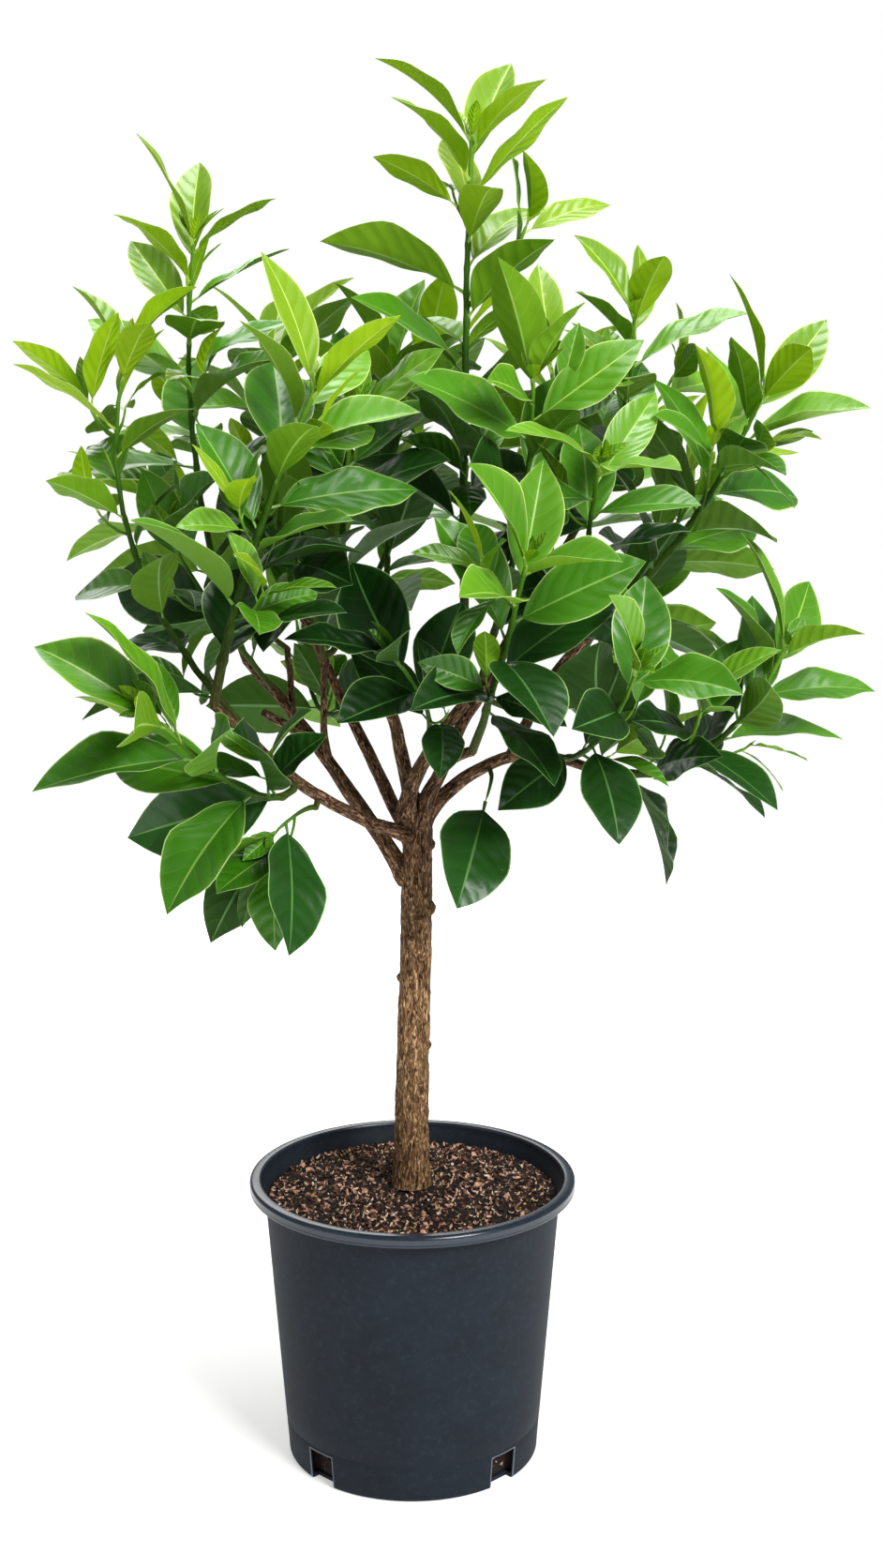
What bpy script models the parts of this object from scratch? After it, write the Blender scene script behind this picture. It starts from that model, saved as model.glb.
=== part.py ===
"""Young citrus tree trained as a half-standard, standing in its round nursery pot.

A clean trunk rises from bark-topped compost to a fork, boughs spread from there, and
each bough carries leafy shoots.  Metres, +Z up, origin at the centre of the pot's
underside; +X is the tree's right-hand side and -Y its front.
"""
import math
import random
from collections import namedtuple

import bmesh
import bpy
from mathutils import Quaternion, Vector
from mathutils.bvhtree import BVHTree

OBJECT_NAME = "potted_citrus_standard"
CLEARANCE = 0.0003
MERGE = 0.00001

# Pot: a turned shell with a rolled rim and four drain notches round its foot.
POT_HEIGHT = 0.249
FOOT_RADIUS = 0.1084
WALL_TOP_RADIUS = 0.1272
RIM_RADIUS = 0.140
RIM_MOUTH_RADIUS = 0.1302
RIM_DEPTH = 0.010
RIM_ROUND = 0.0032
WALL = 0.0022
FLOOR = 0.0035
FOOT_ROUND = 0.0025
POT_STEPS = 40
NOTCH_ANGLES = (45.0, 135.0, 225.0, 315.0)
NOTCH_WIDTH = 0.027
NOTCH_HEIGHT = 0.029
NOTCH_DEPTH = 0.009
NOTCH_CUTTER_LENGTH = 0.024
RIM_LIP = 0.0015
RIM_LIP_DROP = 0.0020
RIM_BAND_SLOPE = 0.0008

# Compost: fills the pot to a little under the rim, level round the trunk.
SOIL_EDGE_Z = 0.2330
SOIL_TOP_Z = 0.2365
SOIL_LEVEL_RADIUS = 0.030
SOIL_SLOPE_SHARE = 0.75

# Trunk: flared at the compost, slightly leaning, ending in a four-way fork.
TRUNK_FOOT = Vector((-0.001, 0.008, SOIL_TOP_Z + CLEARANCE))
TRUNK_TOP = Vector((0.005, 0.003, 0.582))
TRUNK_FOOT_RADIUS = 0.0150
TRUNK_TOP_RADIUS = 0.0122
FLARE = 0.0016
FLARE_HEIGHT = 0.020
TRUNK_RINGS = 12
KNOT_SUNK = 0.25
# Each knot: height, side (degrees round the trunk from +X), radius.
KNOTS = ((0.428, 190.0, 0.0052), (0.366, 345.0, 0.0055), (0.492, 350.0, 0.0075),
         (0.549, 355.0, 0.0052))

Bough = namedtuple("Bough", "name parent foot knee tip foot_radius tip_radius")
Shoot = namedtuple("Shoot", "name bough place knee tip radius bare leaves leaf_length "
                   "tip_side twigs")
Twig = namedtuple("Twig", "place side length leaves")
Leaf = namedtuple("Leaf", "base pointing face length")

# Boughs: name, parent, foot, knee, tip, foot radius, tip radius.
BOUGHS = tuple(Bough(*row) for row in (
    ("left_bough", "trunk", (-0.001, 0.006, 0.506), (-0.079, 0.020, 0.620),
     (-0.141, 0.060, 0.686), 0.0072, 0.0034),
    ("cut_stub", "left_bough", (-0.079, 0.020, 0.620), (-0.101, 0.010, 0.637),
     (-0.122, 0.000, 0.652), 0.0042, 0.0034),
    ("left_back_twig", "left_bough", (-0.100, 0.031, 0.641), (-0.104, 0.058, 0.664),
     (-0.108, 0.100, 0.690), 0.0032, 0.0026),
    ("left_inner_twig", "left_bough", (-0.070, 0.017, 0.608), (-0.074, 0.010, 0.652),
     (-0.072, 0.004, 0.694), 0.0030, 0.0024),
    ("centre_left_bough", "trunk", (0.003, 0.002, 0.560), (-0.016, -0.008, 0.650),
     (-0.045, -0.010, 0.714), 0.0066, 0.0034),
    ("centre_bough", "trunk", (-0.003, 0.000, 0.560), (0.004, -0.027, 0.606),
     (0.045, -0.032, 0.666), 0.0074, 0.0045),
    ("inner_right_bough", "trunk", (0.006, -0.002, 0.556), (0.023, -0.014, 0.602),
     (0.050, -0.034, 0.626), 0.0056, 0.0042),
    ("low_right_bough", "trunk", (0.004, 0.005, 0.552), (0.070, 0.014, 0.607),
     (0.148, 0.000, 0.605), 0.0064, 0.0040),
    ("right_bough", "low_right_bough", (0.083, 0.013, 0.608), (0.112, 0.030, 0.668),
     (0.157, 0.040, 0.718), 0.0048, 0.0040),
    ("upper_right_bough", "trunk", (0.008, 0.006, 0.560), (0.056, 0.020, 0.665),
     (0.126, 0.060, 0.777), 0.0056, 0.0034),
    ("low_left_bough", "trunk", (0.000, 0.002, 0.548), (-0.073, -0.076, 0.598),
     (-0.151, -0.120, 0.679), 0.0058, 0.0038),
    ("back_left_bough", "trunk", (0.002, 0.008, 0.536), (-0.046, 0.084, 0.618),
     (-0.104, 0.164, 0.722), 0.0062, 0.0036),
    ("back_right_bough", "trunk", (0.006, 0.008, 0.550), (0.046, 0.088, 0.630),
     (0.108, 0.168, 0.716), 0.0060, 0.0036),
))
BOUGH_RINGS = 9
ROOT_SHARE = 0.7
MEETING_SHARE = 1.5
STEM_SIDES = 3

# Shoots: name, bough it grows on, place along that bough (1 is its tip), knee, tip,
# stem radius, bare share of the stem, leaves, leaf length, side of the topmost leaf
# (degrees), and the side twigs, each as (place along the stem, side, length, leaves).
SHOOTS = tuple(Shoot(*row) for row in (
    ("crown_top_shoot", "centre_bough", 1.0, (0.043, -0.006, 0.880), (0.049, 0.010, 1.112),
     0.0042, 0.28, 17, 0.108, 180.0, ((0.72, -30.0, 0.085, 4),)),
    ("left_shoot", "left_bough", 1.0, (-0.178, 0.044, 0.850), (-0.174, 0.022, 1.032),
     0.0034, 0.30, 14, 0.106, 180.0, ()),
    ("outer_left_shoot", "low_left_bough", 0.90, (-0.220, -0.066, 0.800),
     (-0.224, -0.022, 0.948), 0.0032, 0.10, 13, 0.090, 20.0, ((0.80, 150.0, 0.045, 3),)),
    ("left_front_shoot", "low_left_bough", 1.0, (-0.118, -0.148, 0.800),
     (-0.068, -0.155, 0.922), 0.0042, 0.06, 14, 0.108, 170.0, ()),
    ("low_left_shoot", "low_left_bough", 0.62, (-0.128, -0.146, 0.618),
     (-0.190, -0.190, 0.682), 0.0034, 0.12, 9, 0.116, 190.0, ()),
    ("low_left_drooping_shoot", "low_left_bough", 0.50, (-0.086, -0.096, 0.590),
     (-0.106, -0.112, 0.576), 0.0026, 0.60, 4, 0.122, 90.0, ()),
    ("right_shoot", "right_bough", 1.0, (0.232, 0.034, 0.806), (0.285, 0.010, 0.913),
     0.0040, 0.18, 12, 0.102, 170.0, ((0.55, 250.0, 0.075, 4),)),
    ("low_right_shoot", "low_right_bough", 1.0, (0.236, -0.024, 0.620),
     (0.302, -0.045, 0.714), 0.0040, 0.08, 13, 0.096, 10.0, ((0.36, 60.0, 0.100, 6),)),
    ("upper_right_shoot", "upper_right_bough", 1.0, (0.172, 0.062, 0.876),
     (0.182, 0.042, 0.972), 0.0034, 0.15, 11, 0.096, 170.0, ((0.5, 40.0, 0.075, 4),)),
    ("centre_front_shoot", "inner_right_bough", 1.0, (0.066, -0.100, 0.690),
     (0.088, -0.175, 0.795), 0.0040, 0.25, 10, 0.108, 180.0, ()),
    ("centre_low_shoot", "centre_bough", 0.72, (0.012, -0.078, 0.672),
     (-0.014, -0.110, 0.716), 0.0026, 0.20, 6, 0.100, 200.0, ()),
    ("centre_right_shoot", "upper_right_bough", 0.55, (0.088, -0.020, 0.810),
     (0.096, -0.070, 0.925), 0.0034, 0.15, 12, 0.104, 0.0, ()),
    ("centre_left_shoot", "centre_left_bough", 1.0, (-0.054, -0.022, 0.800),
     (-0.044, -0.050, 0.900), 0.0034, 0.12, 11, 0.104, 200.0, ()),
    ("right_centre_shoot", "right_bough", 0.85, (0.140, -0.030, 0.786),
     (0.146, -0.095, 0.862), 0.0032, 0.15, 10, 0.104, 180.0, ()),
    ("right_front_shoot", "low_right_bough", 0.80, (0.146, -0.080, 0.640),
     (0.172, -0.160, 0.710), 0.0032, 0.20, 9, 0.100, 170.0, ()),
    ("left_middle_shoot", "left_bough", 0.80, (-0.156, -0.010, 0.730),
     (-0.190, -0.050, 0.800), 0.0028, 0.15, 8, 0.104, 200.0, ()),
    ("inner_left_shoot", "left_inner_twig", 1.0, (-0.084, -0.030, 0.760),
     (-0.108, -0.080, 0.815), 0.0024, 0.15, 8, 0.104, 160.0, ()),
    ("hanging_shoot", "low_right_bough", 0.46, (0.066, -0.008, 0.595),
     (0.061, -0.017, 0.580), 0.0022, 0.90, 1, 0.116, 80.0, ()),
    ("back_left_low_shoot", "left_back_twig", 1.0, (-0.170, 0.140, 0.740),
     (-0.232, 0.150, 0.820), 0.0026, 0.15, 10, 0.104, 100.0, ()),
    ("back_left_shoot", "back_left_bough", 1.0, (-0.132, 0.190, 0.840),
     (-0.120, 0.180, 0.935), 0.0036, 0.15, 12, 0.106, 60.0, ((0.4, 200.0, 0.090, 5),)),
    ("back_low_shoot", "back_left_bough", 0.62, (-0.090, 0.190, 0.630),
     (-0.110, 0.250, 0.700), 0.0030, 0.20, 8, 0.106, 90.0, ()),
    ("back_centre_shoot", "back_left_bough", 0.80, (-0.010, 0.180, 0.800),
     (0.010, 0.200, 0.915), 0.0034, 0.20, 13, 0.106, 80.0, ()),
    ("back_right_shoot", "back_right_bough", 1.0, (0.128, 0.200, 0.810),
     (0.122, 0.206, 0.930), 0.0036, 0.15, 12, 0.106, 100.0, ((0.4, 0.0, 0.090, 5),)),
    ("back_right_low_shoot", "back_right_bough", 0.62, (0.130, 0.150, 0.640),
     (0.208, 0.190, 0.715), 0.0030, 0.20, 9, 0.106, 20.0, ()),
    ("right_back_shoot", "right_bough", 0.75, (0.190, 0.100, 0.740),
     (0.250, 0.140, 0.830), 0.0030, 0.20, 10, 0.102, 60.0, ()),
    ("crown_back_shoot", "centre_left_bough", 0.70, (-0.020, 0.070, 0.815),
     (-0.016, 0.100, 0.925), 0.0032, 0.25, 12, 0.104, 60.0, ()),
))

# The rule by which every shoot grows.
STEM_RINGS = 8
TWIG_RINGS = 5
SIDE_START = 0.006
TIP_TAPER = 0.42
TWIG_LEAN = 50.0
TWIG_LIFT = 0.7
TWIG_RADIUS = 0.0022
TWIG_TAPER = 0.5
TWIG_BARE = 0.3
TWIG_LEAF_SHARE = 0.9
LEAF_TURN = 135.0
TURN_SPREAD = 14.0
TIP_CROWDING = 1.4
LAST_LEAF_PLACE = 0.985
TIP_ANGLE = 24.0
FOOT_ANGLE = 56.0
ANGLE_SPREAD = 12.0
LEAF_ROLL = 24.0
LEAF_DROOP = 0.12
LONGEST_SHARE = 1.04
TIP_SHORTENING = 0.10
LENGTH_SPREAD = 0.14
FACE_UP = 0.35
FACE_OUT = 0.55

# Leaf: a folded, arched blade on a short stalk; sizes are shares of its length.
LEAF_WIDTH = 0.47
LEAF_THICKNESS = 0.013
LEAF_FOLD = 0.30
LEAF_ARCH = 0.20
STALK_SHARE = 0.10
STALK_HALF_WIDTH = 0.0014
STALK_DEPTH = 0.0020
BROAD_SHARE = 0.40
SHOULDER_SHARE = 0.74
SHOULDER_WIDTH = 0.74
MIDDLE_SHARE = 0.55
ROOT_SUNK = 0.0008

# A leaf that would touch something is tried again: side, share of its angle and length.
LEAF_TRIES = ((0.0, 1.0, 1.0), (25.0, 1.0, 1.0), (-25.0, 1.0, 1.0), (0.0, 0.72, 0.92),
              (45.0, 0.85, 0.88), (-45.0, 0.85, 0.88), (0.0, 0.5, 0.8), (0.0, 1.15, 0.7))
LEAF_GAP = 0.0006
STALK_GAP = 0.0022
STALK_TESTS = (0.0, 0.035, 0.07, 0.10)
SPACE_STEP = 0.006

PLASTIC = (0.022, 0.025, 0.028)
COMPOST = (0.060, 0.036, 0.022)
BARK = (0.190, 0.115, 0.062)
LEAF_GREEN = (0.060, 0.200, 0.030)


def clear_scene():
    for item in list(bpy.data.objects):
        bpy.data.objects.remove(item, do_unlink=True)


def new_collection(name):
    group = bpy.data.collections.new(name)
    bpy.context.scene.collection.children.link(group)
    return group


def new_material(name, colour, roughness):
    material = bpy.data.materials.new(name)
    material.use_nodes = True
    shader = material.node_tree.nodes["Principled BSDF"]
    shader.inputs["Base Color"].default_value = (*colour, 1.0)
    shader.inputs["Roughness"].default_value = roughness
    shader.inputs["Metallic"].default_value = 0.0
    return material


def add_object(name, mesh, group, material=None):
    item = bpy.data.objects.new(name, mesh)
    group.objects.link(item)
    if material:
        mesh.materials.clear()
        mesh.materials.append(material)
    return item


def hide_cutter(item):
    item.hide_render = True
    item.display_type = "WIRE"


def subtract(item, cutter):
    cut = item.modifiers.new("cut_" + cutter.name, "BOOLEAN")
    cut.operation = "DIFFERENCE"
    cut.object = cutter


def evaluated_mesh(item):
    graph = bpy.context.evaluated_depsgraph_get()
    return bpy.data.meshes.new_from_object(item.evaluated_get(graph))


def arc(centre, radius, start, end, steps):
    """Points on an arc in the profile plane, angles in degrees."""
    turns = [math.radians(start + (end - start) * i / steps) for i in range(steps + 1)]
    return [(centre[0] + radius * math.cos(a), centre[1] + radius * math.sin(a))
            for a in turns]


def turned(name, profile, steps, group, material):
    """A solid of revolution; the profile runs from the axis over the top and down."""
    mesh = bpy.data.meshes.new(name)
    points = [(x, 0.0, z) for x, z in profile]
    mesh.from_pydata(points, [(i, i + 1) for i in range(len(points) - 1)], [])
    item = add_object(name, mesh, group, material)
    screw = item.modifiers.new("turn", "SCREW")
    screw.axis = "Z"
    screw.steps = steps
    screw.render_steps = steps
    screw.use_merge_vertices = True
    screw.merge_threshold = MERGE
    screw.use_smooth_shade = True
    return item


def wall_radius(height):
    return FOOT_RADIUS + (WALL_TOP_RADIUS - FOOT_RADIUS) * height / (POT_HEIGHT - RIM_DEPTH)


def make_pot(group, cutters):
    band_foot = POT_HEIGHT - RIM_DEPTH
    inner_foot = wall_radius(FLOOR) - WALL
    profile = [(0.0, FLOOR), (inner_foot, FLOOR)]
    profile.append((wall_radius(band_foot) - WALL, band_foot))
    profile.append((RIM_MOUTH_RADIUS, POT_HEIGHT - RIM_LIP_DROP))
    profile.append((RIM_MOUTH_RADIUS + RIM_LIP, POT_HEIGHT))
    top_round = (RIM_RADIUS - RIM_ROUND, POT_HEIGHT - RIM_ROUND)
    profile += arc(top_round, RIM_ROUND, 90.0, 0.0, 3)
    profile.append((RIM_RADIUS - RIM_BAND_SLOPE, band_foot))
    profile.append((wall_radius(band_foot), band_foot))
    foot_round = (wall_radius(FOOT_ROUND) - FOOT_ROUND, FOOT_ROUND)
    profile += arc(foot_round, FOOT_ROUND, 0.0, -90.0, 2)
    profile.append((0.0, 0.0))
    pot = turned("pot", profile, POT_STEPS, group, new_material("black_plastic", PLASTIC, 0.38))
    for angle in NOTCH_ANGLES:
        subtract(pot, notch_cutter(angle, cutters))


def notch_cutter(angle, cutters):
    """A box through the wall and the outer edge of the floor, open at the foot."""
    mesh = bpy.data.meshes.new("notch_cutter")
    shell = bmesh.new()
    bmesh.ops.create_cube(shell, size=1.0)
    size = (NOTCH_CUTTER_LENGTH, NOTCH_WIDTH, 2.0 * NOTCH_HEIGHT)
    bmesh.ops.scale(shell, vec=size, verts=shell.verts)
    shell.to_mesh(mesh)
    shell.free()
    cutter = add_object("notch_cutter_%d" % angle, mesh, cutters)
    turn = math.radians(angle)
    reach = FOOT_RADIUS - NOTCH_DEPTH + 0.5 * NOTCH_CUTTER_LENGTH
    cutter.location = (reach * math.cos(turn), reach * math.sin(turn), 0.0)
    cutter.rotation_euler = (0.0, 0.0, turn)
    hide_cutter(cutter)
    return cutter


def make_soil(group):
    low = FLOOR + CLEARANCE
    gap = WALL + CLEARANCE
    profile = [(0.0, SOIL_TOP_Z), (SOIL_LEVEL_RADIUS, SOIL_TOP_Z)]
    slope_z = 0.5 * (SOIL_TOP_Z + SOIL_EDGE_Z)
    profile.append((SOIL_SLOPE_SHARE * wall_radius(SOIL_EDGE_Z), slope_z))
    profile.append((wall_radius(SOIL_EDGE_Z) - gap, SOIL_EDGE_Z))
    profile.append((wall_radius(low) - gap, low))
    profile.append((0.0, low))
    turned("compost", profile, POT_STEPS, group, new_material("bark_compost", COMPOST, 0.95))


def smooth_path(foot, knee, tip, rings):
    """Points of a parabola that passes the knee half way."""
    foot, knee, tip = Vector(foot), Vector(knee), Vector(tip)
    pull = 2.0 * knee - 0.5 * (foot + tip)
    steps = [i / (rings - 1) for i in range(rings)]
    return [(1 - t) ** 2 * foot + 2 * t * (1 - t) * pull + t * t * tip for t in steps]


def trunk_path(rings):
    """Upright at the compost, then leaning gently to the fork."""
    path = [TRUNK_FOOT.copy()]
    for i in range(1, rings):
        t = i / (rings - 1)
        point = TRUNK_FOOT.lerp(TRUNK_TOP, t)
        lean = (1.0 - math.cos(math.pi * t)) / 2.0
        point.x = TRUNK_FOOT.x + (TRUNK_TOP.x - TRUNK_FOOT.x) * lean
        point.y = TRUNK_FOOT.y + (TRUNK_TOP.y - TRUNK_FOOT.y) * lean
        path.append(point)
    path[1].x, path[1].y = path[0].x, path[0].y
    return path


def trunk_radii(path):
    radii = []
    for point in path:
        t = (point.z - TRUNK_FOOT.z) / (TRUNK_TOP.z - TRUNK_FOOT.z)
        flare = FLARE * math.exp(-(point.z - TRUNK_FOOT.z) / FLARE_HEIGHT)
        radii.append(TRUNK_FOOT_RADIUS + (TRUNK_TOP_RADIUS - TRUNK_FOOT_RADIUS) * t + flare)
    return radii


def even_radii(first, last, rings):
    return [first + (last - first) * i / (rings - 1) for i in range(rings)]


def tube(name, path, radii, resolution, group, material=None):
    """A closed tapering tube, made as a bevelled curve and turned into a mesh."""
    curve = bpy.data.curves.new(name, "CURVE")
    curve.dimensions = "3D"
    curve.twist_mode = "MINIMUM"
    curve.bevel_depth = 1.0
    curve.bevel_resolution = resolution
    curve.use_fill_caps = True
    spline = curve.splines.new("POLY")
    spline.points.add(len(path) - 1)
    for point, place, radius in zip(spline.points, path, radii):
        point.co = (*place, 1.0)
        point.radius = radius
    source = add_object(name + "_curve", curve, group)
    mesh = evaluated_mesh(source)
    bpy.data.objects.remove(source, do_unlink=True)
    shell = bmesh.new()
    shell.from_mesh(mesh)
    bmesh.ops.remove_doubles(shell, verts=shell.verts, dist=MERGE)
    shell.to_mesh(mesh)
    shell.free()
    mesh.name = name
    mesh.shade_smooth()
    return add_object(name, mesh, group, material)


def knot(height, side, radius, path, radii, group):
    """A low rounded scar where a side shoot was rubbed off."""
    mesh = bpy.data.meshes.new("knot")
    shell = bmesh.new()
    bmesh.ops.create_icosphere(shell, subdivisions=1, radius=radius)
    shell.to_mesh(mesh)
    shell.free()
    item = add_object("knot_%d" % (1000 * height), mesh, group)
    nearest = min(range(len(path)), key=lambda i: abs(path[i].z - height))
    turn = math.radians(side)
    out = Vector((math.cos(turn), math.sin(turn), 0.0))
    item.location = path[nearest] + out * (radii[nearest] - KNOT_SUNK * radius)
    item.location.z = height
    return item


def make_trunk(group, cutters, bark):
    path = trunk_path(TRUNK_RINGS)
    radii = trunk_radii(path)
    trunk = tube("trunk", path, radii, 4, group, bark)
    for height, side, radius in KNOTS:
        scar = knot(height, side, radius, path, radii, cutters)
        hide_cutter(scar)
        join = trunk.modifiers.new("join_" + scar.name, "BOOLEAN")
        join.operation = "UNION"
        join.object = scar
    return path, radii, room_for(trunk, path, radii, 4, cutters)


def room_for(limb, path, radii, resolution, cutters):
    """A cutter a little larger all round than a limb."""
    roomy = [point.copy() for point in path]
    roomy[0] += (path[0] - path[1]).normalized() * CLEARANCE
    roomy[-1] += (path[-1] - path[-2]).normalized() * CLEARANCE
    wide = [radius + CLEARANCE for radius in radii]
    cutter = tube(limb.name + "_cutter", roomy, wide, resolution, cutters)
    hide_cutter(cutter)
    return cutter


def make_boughs(group, cutters, bark, trunk):
    """Each bough starts inside what carries it and is cut back to its surface."""
    limbs = {"trunk": trunk}
    for row in BOUGHS:
        path = smooth_path(row.foot, row.knee, row.tip, BOUGH_RINGS)
        radii = even_radii(row.foot_radius, row.tip_radius, BOUGH_RINGS)
        radii[0] *= ROOT_SHARE
        bough = tube(row.name, path, radii, 2, group, bark)
        for other, (other_path, other_radii, room) in limbs.items():
            if other == row.parent or paths_meet(path, radii, other_path, other_radii):
                subtract(bough, room)
        limbs[row.name] = (path, radii, room_for(bough, path, radii, 2, cutters))
    return limbs


def paths_meet(path, radii, other_path, other_radii):
    for place, radius in zip(path, radii):
        for other, other_radius in zip(other_path, other_radii):
            if (place - other).length < MEETING_SHARE * (radius + other_radius):
                return True
    return False


def along(path, place):
    """The point and the direction at a share of the way along a path."""
    last = len(path) - 1
    index = min(int(place * last), last - 1)
    share = place * last - index
    point = path[index].lerp(path[index + 1], share)
    return point, (path[index + 1] - path[index]).normalized()


def frames(path):
    """Tangent and two side directions at each point, turned as little as possible."""
    tangents = []
    for i in range(len(path)):
        ahead = path[min(i + 1, len(path) - 1)]
        behind = path[max(i - 1, 0)]
        tangents.append((ahead - behind).normalized())
    start = Vector((1.0, 0.0, 0.0))
    if abs(tangents[0].x) > 0.8:
        start = Vector((0.0, 0.0, 1.0))
    side = (start - tangents[0] * start.dot(tangents[0])).normalized()
    result = []
    for tangent in tangents:
        side = (side - tangent * side.dot(tangent)).normalized()
        result.append((tangent, side, tangent.cross(side)))
    return result


def radial(frame, degrees):
    turn = math.radians(degrees)
    return frame[1] * math.cos(turn) + frame[2] * math.sin(turn)


def shoot_path(shoot, limbs):
    """The stem's path and the facing of its foot, just clear of the bough's skin."""
    path, radii, _ = limbs[shoot.bough]
    centre, heading = along(path, shoot.place)
    if shoot.place == 1.0:
        foot = centre + heading * CLEARANCE
        return smooth_path(foot, shoot.knee, shoot.tip, STEM_RINGS), heading
    out = Vector(shoot.knee) - centre
    out = (out - heading * out.dot(heading)).normalized()
    foot = centre + out * (radii[round(shoot.place * (len(radii) - 1))] + 2.0 * CLEARANCE)
    start = foot + out * SIDE_START
    return [foot] + smooth_path(start, shoot.knee, shoot.tip, STEM_RINGS), out


def twig_path(stem, twig):
    """A side twig leans out of its stem and bends up towards the light."""
    base, heading = along(stem, twig.place)
    frame = frames(stem)[round(twig.place * (len(stem) - 1))]
    lean = math.radians(TWIG_LEAN)
    out = heading * math.cos(lean) + radial(frame, twig.side) * math.sin(lean)
    knee = base + out * 0.5 * twig.length
    tip = knee + (out + Vector((0.0, 0.0, TWIG_LIFT))).normalized() * 0.5 * twig.length
    return smooth_path(base, knee, tip, TWIG_RINGS)


def midrib(leaf, share):
    """A point on the leaf's arched midrib, at a share of its length."""
    arch = leaf.face * LEAF_ARCH * share * share
    return leaf.base + (leaf.pointing * share - arch) * leaf.length


def leaf_outline(leaf):
    """Rows of four points, left edge, midrib, right edge and keel, and then the tip."""
    side = leaf.pointing.cross(leaf.face)
    half = 0.5 * LEAF_WIDTH * leaf.length
    thickness = LEAF_THICKNESS * leaf.length
    rows = []
    for share, width, depth in ((STALK_SHARE, STALK_HALF_WIDTH, STALK_DEPTH),
                                (BROAD_SHARE, half, thickness),
                                (SHOULDER_SHARE, SHOULDER_WIDTH * half, thickness)):
        rib = midrib(leaf, share)
        lift = leaf.face * LEAF_FOLD * width
        rows.append((rib - side * width + lift, rib, rib + side * width + lift,
                     rib - leaf.face * depth))
    return rows, midrib(leaf, 1.0)


def closed_mesh(name, rings, first, last):
    """A skin over rings of points, closed by a point or a flat face at each end."""
    mesh = bpy.data.meshes.new(name)
    shell = bmesh.new()
    rings = [[shell.verts.new(point) for point in ring] for ring in rings]
    count = len(rings[0])
    ends = ((first, rings[0]), (last, rings[-1]))
    for end, ring in ends:
        if end is None:
            shell.faces.new(ring)
            continue
        point = shell.verts.new(end)
        for i in range(count):
            shell.faces.new((point, ring[(i + 1) % count], ring[i]))
    for near, far in zip(rings, rings[1:]):
        for i in range(count):
            j = (i + 1) % count
            shell.faces.new((near[i], near[j], far[j], far[i]))
    bmesh.ops.triangulate(shell, faces=shell.faces)
    bmesh.ops.recalc_face_normals(shell, faces=shell.faces)
    shell.to_mesh(mesh)
    shell.free()
    return mesh


def leaf_mesh(leaf):
    rows, tip = leaf_outline(leaf)
    return closed_mesh("leaf", rows, leaf.base - leaf.pointing * ROOT_SUNK, tip)


def stem_mesh(name, path, radii, foot_normal=None):
    """A three-sided twig, with a flat foot square to what carries it."""
    rings = []
    for place, (_, side, front), radius in zip(path, frames(path), radii):
        if not rings and foot_normal:
            side = (side - foot_normal * side.dot(foot_normal)).normalized()
            front = foot_normal.cross(side)
        turns = [2.0 * math.pi * k / STEM_SIDES for k in range(STEM_SIDES)]
        rings.append([place + radius * (side * math.cos(a) + front * math.sin(a))
                      for a in turns])
    return closed_mesh(name, rings, None, None)


def path_length(path):
    return sum((b - a).length for a, b in zip(path, path[1:]))


def nearest(points, place):
    return min((place - point).length for point in points)


def points_along(path):
    count = max(2, int(path_length(path) / SPACE_STEP))
    return [along(path, i / count)[0] for i in range(count + 1)]


def ball_round(points):
    middle = sum(points, Vector()) / len(points)
    return middle, max((point - middle).length for point in points)


class Space:
    """The room round one shoot: all places nearer its own stems than any other's."""

    def __init__(self, own_paths, other_paths):
        self.own = [point for path in own_paths for point in points_along(path)]
        self.others = [point for path in other_paths for point in points_along(path)]

    def holds(self, place):
        return nearest(self.own, place) < nearest(self.others, place)


class Crown:
    """What already stands in the crown, so that no new leaf runs into it."""

    def __init__(self):
        self.solids = []

    def add(self, owner, points, faces):
        self.solids.append((owner, *ball_round(points), points,
                            BVHTree.FromPolygons(points, faces)))

    def add_mesh(self, owner, mesh):
        points = [vertex.co.copy() for vertex in mesh.vertices]
        self.add(owner, points, [tuple(face.vertices) for face in mesh.polygons])

    def is_clear(self, owner, leaf):
        """The blade keeps clear of everything, and the stalk of all other shoots."""
        points, faces = leaf_blade(leaf)
        tree = BVHTree.FromPolygons(points, faces)
        stalk = [midrib(leaf, share) for share in STALK_TESTS]
        middle, reach = ball_round(points + stalk)
        for other_owner, other_middle, other_reach, other_points, other in self.solids:
            if (middle - other_middle).length > reach + other_reach + STALK_GAP:
                continue
            if tree.overlap(other):
                return False
            if any(other.find_nearest(point, LEAF_GAP)[0] for point in points):
                return False
            if any(tree.find_nearest(point, LEAF_GAP)[0] for point in other_points):
                return False
            if owner != other_owner and any(other.find_nearest(p, STALK_GAP)[0] for p in stalk):
                return False
        return True


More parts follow.
